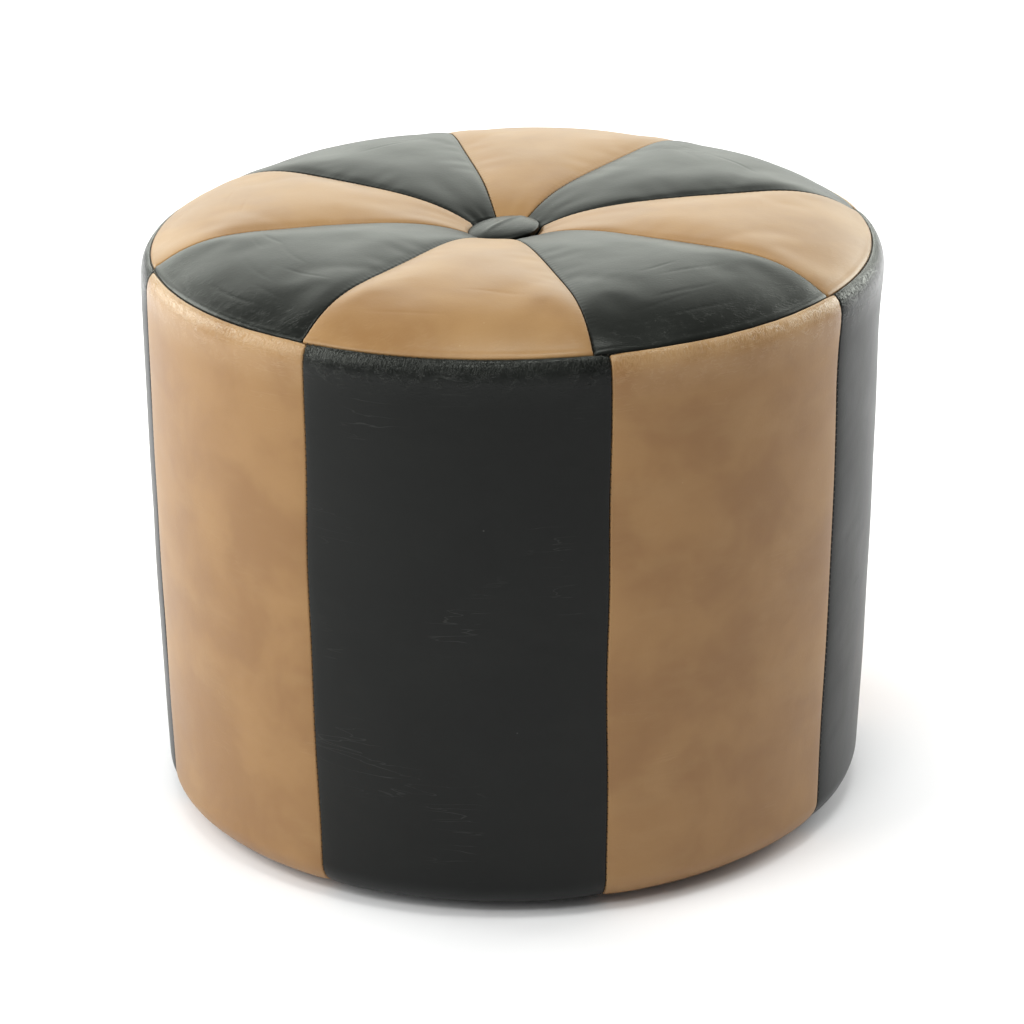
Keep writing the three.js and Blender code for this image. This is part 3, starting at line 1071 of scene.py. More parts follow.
@dataclass
class Cover:
    """One ring of eight panels: the seat's wedges or the side's panels."""

    sizes: Sizes
    contour: Contour
    name: str
    node: str
    lag: float
    rim_end: bool
    first: Panel
    blow: Blow
    valley: float
    valley_width: float
    row_step: float
    columns: int
    flat: tuple[float, float]
    area: float
    rests_on: str
    slips: tuple[float, ...] = (0.0,) * PANELS
    lip: float = 0.5 * MM
    creases: int = 7
    few_creases: int = 2
    crease_width: float = 0.9 * MM
    wave: float = 0.14 * MM
    pucker: float = 0.2 * MM
    pucker_width: float = 1.6 * MM
    rim_pucker: float = 0.25 * MM
    rim_pucker_width: float = 1.8 * MM
    groove: float = 3.8 * MM
    groove_width: float = 3.0 * MM
    per_panel: int = 14

    def __post_init__(self) -> None:
        """Lay out the seams, and blow the skin up between them."""
        self.seams = [
            SeamLine(
                self.lag + index * PANEL_ANGLE + slip * MM / self.sizes.rim_radius,
                1.7 * index + (0.8 if self.rim_end else 0.0),
            )
            for index, slip in enumerate(self.slips)
        ]
        self.bulge = self._bulge()

    def _colour(self, index: int) -> Panel:
        """Return the colour of one panel. The colours alternate round the pouf."""
        colours = list(Panel) if self.first is Panel.TAN else list(Panel)[::-1]
        return colours[index % 2]

    def _rim_distance(self, along: np.ndarray) -> np.ndarray:
        """Return the distance along the skin to the rim seam."""
        return self.contour.length - along if self.rim_end else along

    def _bulge(self) -> np.ndarray:
        """Return how far the filling pushes the skin out, on a coarse grid."""
        rows = int(self.contour.length / (7 * MM))
        columns = PANELS * self.per_panel
        along = np.linspace(0, self.contour.length, rows)
        radius, height = self.contour.place(along)
        grid = around(radius[:, None], self.lag + full_circle(columns), height[:, None])
        pinned = np.zeros((rows, columns), dtype=bool)
        pinned[0] = pinned[-1] = True
        pinned[:, :: self.per_panel] = True
        if self.rim_end:
            pinned[radius < self.sizes.rim_radius - self.sizes.corner] = True
            return blown(grid, pinned, self.blow)
        near_button = smooth_step(radius, 22 * MM, 110 * MM)[:, None]
        return blown(grid, pinned, self.blow) * (0.25 + 0.75 * near_button)

    def _rows(self) -> tuple[np.ndarray, np.ndarray]:
        """Return the rows' places along the section line, and how far each is folded down into the seam."""
        roll = self.sizes.edge_roll * (1 - np.cos(np.linspace(0, math.pi / 2, 5)[:-1]))
        fine = np.concatenate([roll, np.arange(self.sizes.edge_roll, self.contour.length, self.row_step)])
        distance = np.concatenate([np.zeros(len(TURN_DOWN)), fine])
        fold = np.concatenate([TURN_DOWN, np.zeros(len(fine))])
        if self.rim_end:
            return self.contour.length - distance[::-1], fold[::-1]
        return distance, fold

    def _columns(self) -> tuple[np.ndarray, np.ndarray, np.ndarray]:
        """Return half of the columns: their share of the edge roll, of the rest, and their fold."""
        roll = 1 - np.cos(np.linspace(0, math.pi / 2, 5))
        rest = np.linspace(0, 1, self.columns + 1)[1:] ** 1.7
        share = np.concatenate([np.zeros(len(TURN_DOWN)), roll, np.ones(len(rest))])
        reach = np.concatenate([np.zeros(len(TURN_DOWN) + len(roll)), rest])
        fold = np.concatenate([TURN_DOWN, np.zeros(len(roll) + len(rest))])
        return share, reach, fold

    def build(self, index: int) -> bpy.types.Object:
        """Build one panel.

        Args:
            index: Its place round the pouf, from 0.

        Returns:
            The panel, as a closed piece of hide.
        """
        sizes = self.sizes
        along, row_fold = self._rows()
        share, reach, column_fold = self._columns()
        radius, height = self.contour.place(along)
        out_radial, out_up = self.contour.outward(along)
        left, right = self.seams[index], self.seams[(index + 1) % PANELS]
        start = left.at(along, radius)
        end = right.at(along, radius) + (2 * math.pi if index == PANELS - 1 else 0.0)
        half = radius * (end - start) / 2
        roll = np.minimum(sizes.edge_roll, 0.3 * half)
        distance = roll[:, None] * share + (half - roll)[:, None] * reach
        turn = (distance + np.minimum(sizes.seam_gap, 0.05 * half[:, None])) / radius[:, None]
        azimuth = np.concatenate([start[:, None] + turn, (end[:, None] - turn)[:, -2::-1]], 1)
        distance = np.concatenate([distance, distance[:, -2::-1]], 1)
        fold = np.concatenate([column_fold, column_fold[-2::-1]])[None] + row_fold[:, None]
        sides = distance.shape[1]
        on_left = np.arange(sides) < sides / 2
        left_pull, right_pull = (seam.pull(along, sizes.stitch)[:, None] for seam in (left, right))
        pull = np.where(on_left, left_pull, right_pull)

        rim = np.maximum(self._rim_distance(along), 0)[:, None]
        drop = fold + self._edge_drop(distance, roll[:, None]) + self._edge_drop(rim, sizes.edge_roll)
        valley = self.valley * np.exp(-distance / self.valley_width)
        pucker = self.pucker * pull * np.exp(-distance / self.pucker_width)
        pucker = pucker * smooth_step(radius, 20 * MM, 40 * MM)[:, None]
        rim_pull = 0.5 + 0.5 * np.cos(azimuth * sizes.seam_radius * 2 * math.pi / sizes.stitch)
        rim_pucker = self.rim_pucker * rim_pull * np.exp(-rim / self.rim_pucker_width)
        across = (azimuth - start[:, None]) / (end - start)[:, None]
        bulge = self._read_bulge(along, across, index)
        rise = bulge - valley - drop - pucker - rim_pucker + self._marks(azimuth, along, index)
        if not self.rim_end:
            rise = rise + self.lip * mound(rim - 2.4 * MM, 1.7 * MM)
            rise = rise - self._seat_creases(rim, across, index)
        points = around(
            radius[:, None] + out_radial[:, None] * rise,
            azimuth,
            height[:, None] + out_up[:, None] * rise,
        )
        edge = np.minimum(distance, rim)
        thickness = sizes.skived + (sizes.hide - sizes.skived) * smooth_step(edge, 2 * MM, 8 * MM)
        piece = self._shell(f"{self.name}_{index + 1}", points, thickness)
        self._lay_out(piece, points, azimuth, along)
        return piece

    def layer(self, along: np.ndarray, azimuth: np.ndarray, depth: float) -> np.ndarray:
        """Return a surface that the filling takes under the hide, with grooves for the turned-in edges.

        Args:
            along: Distances along the section line, one for each row.
            azimuth: Azimuths, one for each column.
            depth: How far the surface lies under the hide's face.

        Returns:
            Points as rows x columns x 3.
        """
        radius, height = (values[:, None] for values in self.contour.place(along))
        out_radial, out_up = (values[:, None] for values in self.contour.outward(along))
        starts = np.array([seam.azimuth for seam in self.seams] + [self.seams[0].azimuth + 2 * math.pi])
        place = np.interp(starts[0] + np.mod(azimuth - starts[0], 2 * math.pi), starts, np.arange(PANELS + 1))
        distance = radius * PANEL_ANGLE * np.abs(place - np.round(place))[None]
        bulge = self._read_bulge(along, np.broadcast_to(place, distance.shape), 0)
        valley = self.valley * np.exp(-distance / self.valley_width)
        groove = self.groove * mound(distance, self.groove_width)
        rise = bulge - valley - groove - depth
        return self.sizes.shifted(around(radius + out_radial * rise, azimuth, height + out_up * rise))

    def seam_path(self, index: int, start: float, end: float) -> tuple[np.ndarray, np.ndarray]:
        """Return points along one seam where its stitches lie, and the outward direction at each.

        Args:
            index: The seam's place round the pouf, from 0.
            start: Where the stitches start along the section line.
            end: Where they end.

        Returns:
            The points and the directions, one row each.
        """
        along = np.arange(start, end, 1.6 * MM)
        radius, height = self.contour.place(along)
        out_radial, out_up = self.contour.outward(along)
        azimuth = self.seams[index].at(along, radius)
        rise = -self.valley - 0.62 * MM
        points = around(radius + out_radial * rise, azimuth, height + out_up * rise)
        return self.sizes.shifted(points), around(out_radial, azimuth, out_up)

    @staticmethod
    def _edge_drop(distance: np.ndarray, roll: np.ndarray | float) -> np.ndarray:
        """Return how far the hide has rolled down at a distance from its folded edge."""
        inside = np.clip(roll - distance, 0, roll)
        return roll - np.sqrt(np.maximum(roll**2 - inside**2, 0))

    def _read_bulge(self, along: np.ndarray, across: np.ndarray, index: int) -> np.ndarray:
        """Return the filling's push at places on one panel."""
        row = np.clip(along / self.contour.length, 0, 1) * (self.bulge.shape[0] - 1)
        field = np.concatenate([self.bulge, self.bulge[:, :1]], 1)
        column = index * self.per_panel + across * self.per_panel
        return resample(field, np.broadcast_to(row[:, None], across.shape), column)

    def _marks(self, azimuth: np.ndarray, along: np.ndarray, index: int) -> np.ndarray:
        """Return the small lasting waves of the hide.

        Args:
            azimuth: Azimuths, as rows x columns.
            along: Distances along the section line, one for each row.
            index: The panel's place round the pouf, from 0.

        Returns:
            Heights above the plain surface.
        """
        level = along[:, None]
        wave = np.sin(azimuth * 9 + 1.3 * index) * np.sin(level / 0.028 + index)
        wave = wave + 0.6 * np.sin(azimuth * 23 + index) * np.sin(level / 0.013 + 2 * index)
        rim = self._rim_distance(along)[:, None]
        radius = self.contour.place(along)[0][:, None]
        tight = smooth_step(radius, 185 * MM, 210 * MM) if self.rim_end else 1.0
        return self.wave * wave * tight + self._swell(azimuth, rim)

    def _swell(self, azimuth: np.ndarray, rim: np.ndarray) -> np.ndarray:
        """Return the roll of padding that stands out under the rim, on the side that the pouf leans to.

        Args:
            azimuth: Azimuths, as rows x columns.
            rim: Distances to the rim seam.

        Returns:
            Heights above the plain surface, which are all zero on the seat.
        """
        if not self.rim_end:
            return np.zeros(azimuth.shape)
        facing = (0.5 + 0.5 * np.cos(azimuth - self.sizes.lean_azimuth)) ** 3
        roll = 1.2 * mound(rim - 15 * MM, 13 * MM)
        return facing * MM * (roll - smooth_step(rim, 20 * MM, 60 * MM))

    def _seat_creases(self, rim: np.ndarray, across: np.ndarray, index: int) -> np.ndarray:
        """Return the depth of the creases that being sat on leaves in a wedge, level with the rim.

        Args:
            rim: Distances to the rim seam.
            across: Shares of the way across the wedge.
            index: The wedge's place round the pouf, which seeds its own set of creases.

        Returns:
            Depths below the plain surface. The black wedges have more creases.
        """
        chance = np.random.default_rng(40 + index)
        depth = np.zeros(across.shape)
        creased = self._colour(index) is Panel.BLACK
        for _ in range(self.creases if creased else self.few_creases):
            place, middle = chance.uniform(12 * MM, 75 * MM), chance.uniform(0.2, 0.8)
            half, slope = chance.uniform(0.07, 0.2), chance.uniform(-0.03, 0.03)
            deep = chance.uniform(0.08, 0.26)
            line = place + slope * (across - middle) + 1.5 * MM * np.sin(9 * (across - middle) + place / MM)
            reach = np.clip(1 - ((across - middle) / half) ** 2, 0, 1)
            depth += deep * MM * reach * mound(rim - line, self.crease_width)
        return depth

    def _shell(self, name: str, points: np.ndarray, thickness: np.ndarray) -> bpy.types.Object:
        """Give a grid its thickness and close it round its border.

        Args:
            name: The piece's name.
            points: The outer face, as rows x columns x 3.
            thickness: The hide's thickness at each point.

        Returns:
            The closed piece.
        """
        rows, columns = points.shape[:2]
        normals = grid_normals(points)
        middle = points[rows // 2, columns // 2]
        outwards = middle - np.array([0, 0, middle[2] / 2])
        if normals[rows // 2, columns // 2] @ outwards < 0:
            normals = -normals
        inner = points - normals * thickness[..., None]
        count = rows * columns
        loop = border_loop(rows, columns)
        faces = grid_faces(rows, columns)
        faces += [tuple(reversed(face)) for face in grid_faces(rows, columns, start=count)]
        faces += [(a, a + count, b + count, b) for a, b in zip(loop, loop[1:] + loop[:1])]
        both = self.sizes.shifted(np.concatenate([points.reshape(-1, 3), inner.reshape(-1, 3)]))
        piece = make_object(name, both, faces)
        face_out(piece)
        return piece

    def _lay_out(
        self, piece: bpy.types.Object, points: np.ndarray, azimuth: np.ndarray, along: np.ndarray
    ) -> None:
        """Store the panel's flat layout, and how near each point is to the bend over the rim.

        Args:
            piece: The panel.
            points: Its outer face, before the lean.
            azimuth: The azimuth of each point.
            along: Distances along the section line, one for each row.
        """
        rim = np.broadcast_to(self._rim_distance(along)[:, None], azimuth.shape)
        # The bend and brink values also set where the hide is painted paler, as rubbed wear and painted
        # highlight.
        if self.rim_end:
            flat = np.stack([azimuth * self.sizes.rim_radius, -rim], -1)
            bend = smooth_step(rim, 34 * MM, 6 * MM)
            brink = smooth_step(rim, 13 * MM, 6 * MM) * smooth_step(rim, 0.3 * MM, 2 * MM)
        else:
            flat = points[..., :2]
            bend = 0.25 * smooth_step(rim, 40 * MM, 5 * MM)
            brink = np.zeros(rim.shape)
        set_layout(piece, np.concatenate([flat.reshape(-1, 2)] * 2))
        set_attribute(piece, "bend", np.concatenate([bend.ravel()] * 2))
        set_attribute(piece, "brink", np.concatenate([brink.ravel()] * 2))

    def dress_all(self, hides: Mapping[Panel, tuple[Hide, bpy.types.Material]]) -> None:
        """Build and dress all eight panels.

        Args:
            hides: The finish and the material of each colour.
        """
        for index in range(PANELS):
            colour = self._colour(index)
            hide, material = hides[colour]
            piece = self.build(index)
            dress(piece, material, hide.slot, f"{self.node}_{colour.value}_{index + 1}")


# ----------------------------------------------------------------------
# Stitches and staples
# ----------------------------------------------------------------------


class Recipe:
    """A Geometry Nodes tree under construction."""

    def __init__(self, name: str, inputs: Mapping[str, str]) -> None:
        """Start a tree that takes a geometry and some named inputs, and gives a geometry.

        Args:
            name: The tree's name.
            inputs: The socket type of each named input.
        """
        self.tree = bpy.data.node_groups.new(name, "GeometryNodeTree")
        face = self.tree.interface
        face.new_socket("Geometry", in_out="INPUT", socket_type="NodeSocketGeometry")
        face.new_socket("Geometry", in_out="OUTPUT", socket_type="NodeSocketGeometry")
        self.identifiers = {
            label: face.new_socket(label, in_out="INPUT", socket_type=kind).identifier
            for label, kind in inputs.items()
        }
        self.source = self.tree.nodes.new("NodeGroupInput").outputs
        self.target = self.tree.nodes.new("NodeGroupOutput").inputs

    def add(
        self,
        kind: str,
        settings: Mapping[str, Any],
        inputs: Mapping[int | str, Any],
        output: int | str = 0,
    ) -> bpy.types.NodeSocket:
        """Add a node with its settings and inputs, and return one of its outputs.

        Args:
            kind: The node's type.
            settings: Properties that are set first.
            inputs: Values or outputs of other nodes for its sockets.
            output: Which output is returned.

        Returns:
            The chosen output.
        """
        made = self.tree.nodes.new(kind)
        for key, value in settings.items():
            setattr(made, key, value)
        for key, value in inputs.items():
            if isinstance(value, bpy.types.NodeSocket):
                self.tree.links.new(value, made.inputs[key])
            else:
                made.inputs[key].default_value = value
        return made.outputs[output]


@dataclass(frozen=True)
class Row:
    """One row of stitches or staples: where it runs, which way is out, and whether its ends meet."""

    points: np.ndarray
    lift: np.ndarray
    closed: bool = False


@dataclass
class Stitcher:
    """Sets short lengths of thread or wire along rows, each slewed across its row."""

    name: str
    pitch: float
    length: float
    thickness: float
    slew: float

    def __post_init__(self) -> None:
        """Build the tree that sets them out."""
        self.measures = {
            "Pitch": self.pitch,
            "Length": self.length,
            "Thickness": self.thickness,
            "Slew": self.slew,
        }
        inputs = {label: "NodeSocketFloat" for label in self.measures}
        self.recipe = Recipe(self.name, inputs | {"Thread": "NodeSocketMaterial"})
        add, source = self.recipe.add, self.recipe.source
        line = add("GeometryNodeMeshToCurve", {}, {"Mesh": source["Geometry"]})
        row = add("GeometryNodeResampleCurve", {"mode": "LENGTH"}, {"Curve": line, "Length": source["Pitch"]})
        lift = add("GeometryNodeInputNamedAttribute", {"data_type": "FLOAT_VECTOR"}, {"Name": "lift"})
        tangent = add("GeometryNodeInputTangent", {}, {})
        upright = add("FunctionNodeAlignRotationToVector", {"axis": "Z"}, {"Vector": lift})
        along = add(
            "FunctionNodeAlignRotationToVector",
            {"axis": "X", "pivot_axis": "Z"},
            {"Rotation": upright, "Vector": tangent},
        )
        slew = add("FunctionNodeAxisAngleToRotation", {}, {"Axis": (0, 0, 1), "Angle": source["Slew"]})
        turn = add(
            "FunctionNodeRotateRotation",
            {"rotation_space": "LOCAL"},
            {"Rotation": along, "Rotate By": slew},
        )
        sides = {0: source["Length"], 1: source["Thickness"], 2: source["Thickness"]}
        size = add("ShaderNodeCombineXYZ", {}, sides)
        bead = add("GeometryNodeMeshUVSphere", {}, {"Segments": 8, "Rings": 6, "Radius": 0.5})
        set_out = add(
            "GeometryNodeInstanceOnPoints",
            {},
            {"Points": row, "Instance": bead, "Rotation": turn, "Scale": size},
        )
        real = add("GeometryNodeRealizeInstances", {}, {"Geometry": set_out})
        smooth = add("GeometryNodeSetShadeSmooth", {}, {"Geometry": real})
        done = add("GeometryNodeSetMaterial", {}, {"Geometry": smooth, "Material": source["Thread"]})
        self.recipe.tree.links.new(done, self.recipe.target["Geometry"])

    def sew(
        self, name: str, rows: Sequence[Row], finish: Strand | Metal, material: bpy.types.Material
    ) -> None:
        """Sew along some rows and dress the result as one piece.

        Args:
            name: The piece's name.
            rows: Where to sew.
            finish: The thread's or the wire's finish.
            material: That finish's material.
        """
        start = 0
        edges: list[tuple[int, int]] = []
        for row in rows:
            count = len(row.points)
            edges += [(start + step, start + step + 1) for step in range(count - 1)]
            edges += [(start + count - 1, start)] if row.closed else []
            start += count
        mesh = bpy.data.meshes.new(name + "_path")
        mesh.from_pydata([tuple(point) for row in rows for point in row.points.tolist()], edges, [])
        lift = mesh.attributes.new("lift", "FLOAT_VECTOR", "POINT")
        lift.data.foreach_set("vector", np.concatenate([row.lift for row in rows]).astype(np.float32).ravel())
        path = bpy.data.objects.new(name + "_path", mesh)
        bpy.context.scene.collection.objects.link(path)
        modifier = path.modifiers.new(self.name, "NODES")
        modifier.node_group = self.recipe.tree
        for label, value in {**self.measures, "Thread": material}.items():
            modifier[self.recipe.identifiers[label]] = value
        shaped = path.evaluated_get(bpy.context.evaluated_depsgraph_get())
        made = bpy.data.meshes.new_from_object(shaped)
        bpy.data.objects.remove(path)
        bpy.data.meshes.remove(mesh)
        piece = bpy.data.objects.new(name, made)
        bpy.context.scene.collection.objects.link(piece)
        dress(piece, material, finish.slot)


# ----------------------------------------------------------------------
# Filling, button, underside and drum
# ----------------------------------------------------------------------


@dataclass
class Filling:
    """The foam round the side, the foam on the seat, and the wadding over both."""

    sizes: Sizes
    side: Cover
    seat: Cover
    air: float = 0.5 * MM
    wadding: float = 8.0 * MM

    def __post_init__(self) -> None:
        """Read the frame's sizes and set out the columns, closer together beside the seams."""
        pad_low, pad_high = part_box("side_padding")
        self.pad_low, self.pad_high = pad_low.z, pad_high.z
        self.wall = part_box("drum_wall")[1].x + self.air
        self.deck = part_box("seat_board")[1].z + self.air
        self.hole = 6.0 * MM
        beside = np.radians([-0.8, 0.0, 0.8])
        spread = np.radians(np.linspace(5.0, 42.0, 10))
        offsets = np.unique(np.round(np.concatenate([beside, beside + self.side.lag, spread]), 6))
        self.azimuth = np.concatenate([offsets + index * PANEL_ANGLE for index in range(PANELS)])

    def _rise(self, low: float, high: float, count: int) -> np.ndarray:
        """Return places along the side's line between two heights on its outside."""
        contour = self.side.contour
        upper = contour.points[:, 0] > self.sizes.rim_radius - self.sizes.corner
        return np.interp(np.linspace(low, high, count), contour.points[upper, 1], contour.along[upper])

    def dress_all(self) -> None:
        """Build and dress the three pads."""
        under = self.sizes.hide + self.air
        foam, fibres = FOAM.material(), WADDING.material()
        deeper = under + self.wadding + self.air
        for name, node, grid, material, slot, fill in (
            ("side_foam_pad", "side_padding", self._side_pad(under), foam, FOAM.slot, 0.95),
            ("seat_foam_pad", "seat_foam", self._seat_pad(deeper), foam, FOAM.slot, 0.95),
            ("seat_wadding_pad", "seat_wadding", self._wadding(under), fibres, WADDING.slot, 0.8),
        ):
            piece = dress(turned_piece(name, grid, poles=False), material, slot, node)

    def _side_pad(self, under: float) -> np.ndarray:
        """Return the foam round the side."""
        along = self._rise(self.pad_low + 4 * MM, self.pad_high, 44)
        outside = self.side.layer(along, self.azimuth, under)
        heights = np.linspace(self.pad_high, self.pad_low, 12)
        return np.concatenate([outside, *(ring(self.wall, height, self.azimuth) for height in heights)])

    def _seat_lines(self, depth: float, outer: float, count: int) -> np.ndarray:
        """Return a surface under the seat's hide, from a radius in to the twine's hole."""
        contour = self.seat.contour
        radii = np.linspace(outer, self.hole, count)
        along = np.interp(-radii, -contour.points[:, 0], contour.along)
        return self.seat.layer(along, self.azimuth, depth)

    def _seat_pad(self, depth: float) -> np.ndarray:
        """Return the foam on the seat board."""
        top = self._seat_lines(depth, self.wall - 14 * MM, 40)
        outer = self.wall - 2 * self.air
        floor = [ring(radius, self.deck, self.azimuth) for radius in (self.hole, self.wall / 2, outer)]
        return np.concatenate([top, *floor, ring(outer, self.pad_high + 4 * MM, self.azimuth)])

    def _wadding(self, under: float) -> np.ndarray:
        """Return the wadding, over the seat and down round the rim.

        Args:
            under: How far its outside lies under the hide's face.

        Returns:
            Its closed section line, carried round the axis.
        """
        skirt = self.pad_high + self.air
        roll = self.side.layer(self._rise(skirt, self.sizes.seam_height - 2 * MM, 8), self.azimuth, under)
        top = self._seat_lines(under, self.sizes.seam_radius - 6 * MM, 48)
        below = self._seat_lines(under + self.wadding, self.wall - 14 * MM, 40)[::-1]
        corner = ring(self.wall, self.pad_high + 5 * MM, self.azimuth)
        return np.concatenate([roll, top, below, corner, ring(self.wall, skirt, self.azimuth)])


@dataclass
class Button:
    """The covered button's hide: a shallow dome with one soft fold, pleated where it turns under."""

    sizes: Sizes
    hide: float = 1.2 * MM
    lean: float = math.radians(6.0)
    pivot_drop: float = 1.9 * MM
    edge_height: float = 7.0 * MM
    crown: float = 4.0 * MM
    fold_azimuth: float = math.radians(35.0)
    fold: float = 0.55 * MM
    layout_shift: float = 0.3
    polish_and_highlight: float = 0.12

    def _section(self) -> np.ndarray:
        """Return the dome's line from the middle out, over the edge and under it."""
        radius, edge = self.sizes.button_radius, self.edge_height
        crest = edge + self.crown
        return np.concatenate([
            bowed((0.4 * MM, crest), (0.75 * radius, crest), (radius, edge), 36),
            arc((radius - 3 * MM, edge), (3 * MM, 4.4 * MM), 0, -math.pi / 2, 12)[1:],
            straight((radius - 3.4 * MM, edge - 4.45 * MM), (0.74 * radius, edge - 4.8 * MM), 5),
        ])

    def dress(self, hide: Hide, material: bpy.types.Material) -> None:
        """Build the cover and dress it.

        Args:
            hide: The finish.
            material: That finish's material.
        """
        line = self._section()
        slope = np.gradient(line, axis=0)
        normal = np.stack([-slope[:, 1], slope[:, 0]], 1)
        normal /= np.linalg.norm(normal, axis=1, keepdims=True)
        inner = line + np.where(normal[:1, 1] > 0, -1, 1) * normal * self.hide
        inner[:, 0] = np.maximum(inner[:, 0], 0.3 * MM)
        azimuth = full_circle(120)
        outer_grid, inner_grid = (self._round(part, azimuth) for part in (line, inner))
        piece = turned_piece("button_hide", np.concatenate([outer_grid, inner_grid[::-1]]), poles=True)
        points = vertex_points(piece)
        set_layout(piece, points[:, :2] + self.layout_shift)
        # A little of the rim bend's look all over the button: lower roughness, and paler wear and painted
        # highlight.
        set_attribute(piece, "bend", np.full(len(points), self.polish_and_highlight))
        set_attribute(piece, "brink", np.zeros(len(points)))
        piece.data.transform(self._turn())
        dress(piece, material, hide.slot, "button_cover")

    def _round(self, line: np.ndarray, azimuth: np.ndarray) -> np.ndarray:
        """Carry the section round the axis, with its fold and pleats.

        Args:
            line: Radius and height of each point of the section.
            azimuth: Azimuths, one for each column.

        Returns:
            Points as rows x columns x 3.
        """
        radius, height = line[:, :1], line[:, 1:]
        x, y = radius * np.sin(azimuth), -radius * np.cos(azimuth)
        across = x * math.sin(self.fold_azimuth) - y * math.cos(self.fold_azimuth)
        along = x * math.cos(self.fold_azimuth) + y * math.sin(self.fold_azimuth)
        rim = smooth_step(radius, self.sizes.button_radius, 0.7 * self.sizes.button_radius)
        ridge = self.fold * mound(across, 2.2 * MM) * rim * smooth_step(along, -22 * MM, -4 * MM)
        sag = -0.5 * self.fold * smooth_step(across, 2 * MM, 12 * MM) * rim
        under = smooth_step(height, self.edge_height, self.edge_height - 4 * MM)
        pleats = 0.35 * MM * under * np.sin(azimuth * 26 + 0.8 * np.sin(azimuth * 3))
        level = self.sizes.seam_height + height + ridge + sag + pleats
        return around(radius, azimuth, level)

    def _turn(self) -> Matrix:
        """Return the lean about the foot of the button's eye."""
        foot = Vector((0, 0, self.sizes.seam_height - self.pivot_drop))
        azimuth = self.sizes.lean_azimuth
        axis = Vector((-math.cos(azimuth), -math.sin(azimuth), 0))
        return Matrix.Translation(foot) @ Matrix.Rotation(self.lean, 4, axis) @ Matrix.Translation(-foot)


@dataclass
class DustCover:
    """The cloth stapled under the base, with its edge turned in and drawn tight."""

    sizes: Sizes
    thickness: float = 0.4 * MM
    hem: float = 9.0 * MM
    scallops: int = 30

    def dress(self, stapler: Stitcher, steel: bpy.types.Material) -> None:
        """Build the cloth, lay it out, and staple it.

        Args:
            stapler: Sets the staples.
            steel: The staples' material.
        """
        low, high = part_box("dust_cover")
        radius = high.x
        hem_start = radius - self.hem
        azimuth = full_circle(240)
        inner = np.linspace(0.5 * MM, hem_start, 60)
        radii = np.concatenate([inner, hem_start + np.array([0.4, 3, 6, 8, 8.8]) * MM])
        lower = self._level(radii[:, None], azimuth, radius, low.z)
        doubled = self.thickness * smooth_step(radii, hem_start - 0.2 * MM, hem_start + 0.4 * MM)
        upper = lower + self.thickness + doubled[:, None]
        faces = [around(radii[:, None], azimuth, level) for level in (lower, upper)]
        piece = turned_piece("dust_cloth", np.concatenate([faces[0], faces[1][::-1]]), poles=True)
        set_layout(piece, vertex_points(piece)[:, :2])
        dress(piece, CAMBRIC.material(), CAMBRIC.slot, "dust_cover")
        place = around(radius - self.hem / 2, full_circle(self.scallops), low.z - 0.1 * MM)
        down = np.tile([0.0, 0.0, -1.0], (self.scallops, 1))
        stapler.sew("dust_cloth_staples", [Row(place, down, closed=True)], ZINC, steel)

    def _level(self, radii: np.ndarray, azimuth: np.ndarray, radius: float, low: float) -> np.ndarray:
        """Return the height of the cloth's lower face: scalloped near its edge, and a little slack inside.

        Args:
            radii: Distances from the axis, as a column.
            azimuth: Azimuths, one for each column.
            radius: The cloth's own radius.
            low: The height of the underside that it lies on.

        Returns:
            Heights as rows x columns.
        """
        scallop = 0.5 - 0.5 * np.cos(azimuth * self.scallops)
        edge = smooth_step(radii, radius - 45 * MM, radius - 4 * MM)
        slack = 0.35 * MM * np.sin(radii / 0.031 + 2 * np.sin(azimuth * 3)) * (1 - edge)
        slack = slack * smooth_step(radii, 0.0, 50 * MM)
        return low - 0.2 * MM + 0.15 * MM * scallop * edge + slack + 0.3 * MM * (1 - edge)


@dataclass(frozen=True)
class Drum:
    """The wooden drum, the button's metalwork and twine, and the glides, whose shapes are the frame's own."""

    def dress(self) -> dict[str, bpy.types.Material]:
        """Give each node its finish, and return the materials by name."""
        groups = {
            PLYWOOD: ("base_board", "seat_board"),
            HARDBOARD: ("drum_wall",),
            PINE: ("post_", "twine_toggle"),
            ZINC: ("base_screw", "seat_screw", "button_shell", "button_back", "button_eye", "glide_nail"),
            TWINE: ("button_twine", "twine_knot"),
            NYLON: ("glide_1", "glide_2", "glide_3", "glide_4"),
        }
        made = {finish.name: finish.material() for finish in groups}
        for finish, starts in groups.items():
            for name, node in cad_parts.items():
                if name.startswith(starts):
                    for slot in node.material_slots:
                        slot.material = made[finish.name]
                    LOG.info("%s: %s", name, finish.name)
        return made


# ----------------------------------------------------------------------
# The studio
# ----------------------------------------------------------------------


STUDIO_TINT = (0.96, 1.0, 0.915)


@dataclass(frozen=True)
class Softbox:
    """A rectangular light, aimed at the middle of the pouf."""

    name: str
    azimuth: float
    elevation: float
    distance: float
    width: float
    height: float
    watts: float
    tint: Colour = STUDIO_TINT

    def hang(self, target: Vector) -> None:
        """Put the light in the scene."""
        lamp = bpy.data.lights.new(self.name, "AREA")
        lamp.shape = "RECTANGLE"
        lamp.size, lamp.size_y = self.width, self.height
        lamp.energy = self.watts
        lamp.color = self.tint
        holder = bpy.data.objects.new(self.name, lamp)
        bpy.context.scene.collection.objects.link(holder)
        holder.location = target + aim(self.azimuth, self.elevation) * self.distance
        holder.rotation_euler = (target - holder.location).to_track_quat("-Z", "Y").to_euler()


def aim(azimuth: float, elevation: float) -> Vector:
    """Return the unit vector towards an azimuth and an elevation, in degrees."""
    turn, lift = math.radians(azimuth), math.radians(elevation)
    return Vector((math.sin(turn) * math.cos(lift), -math.cos(turn) * math.cos(lift), math.sin(lift)))


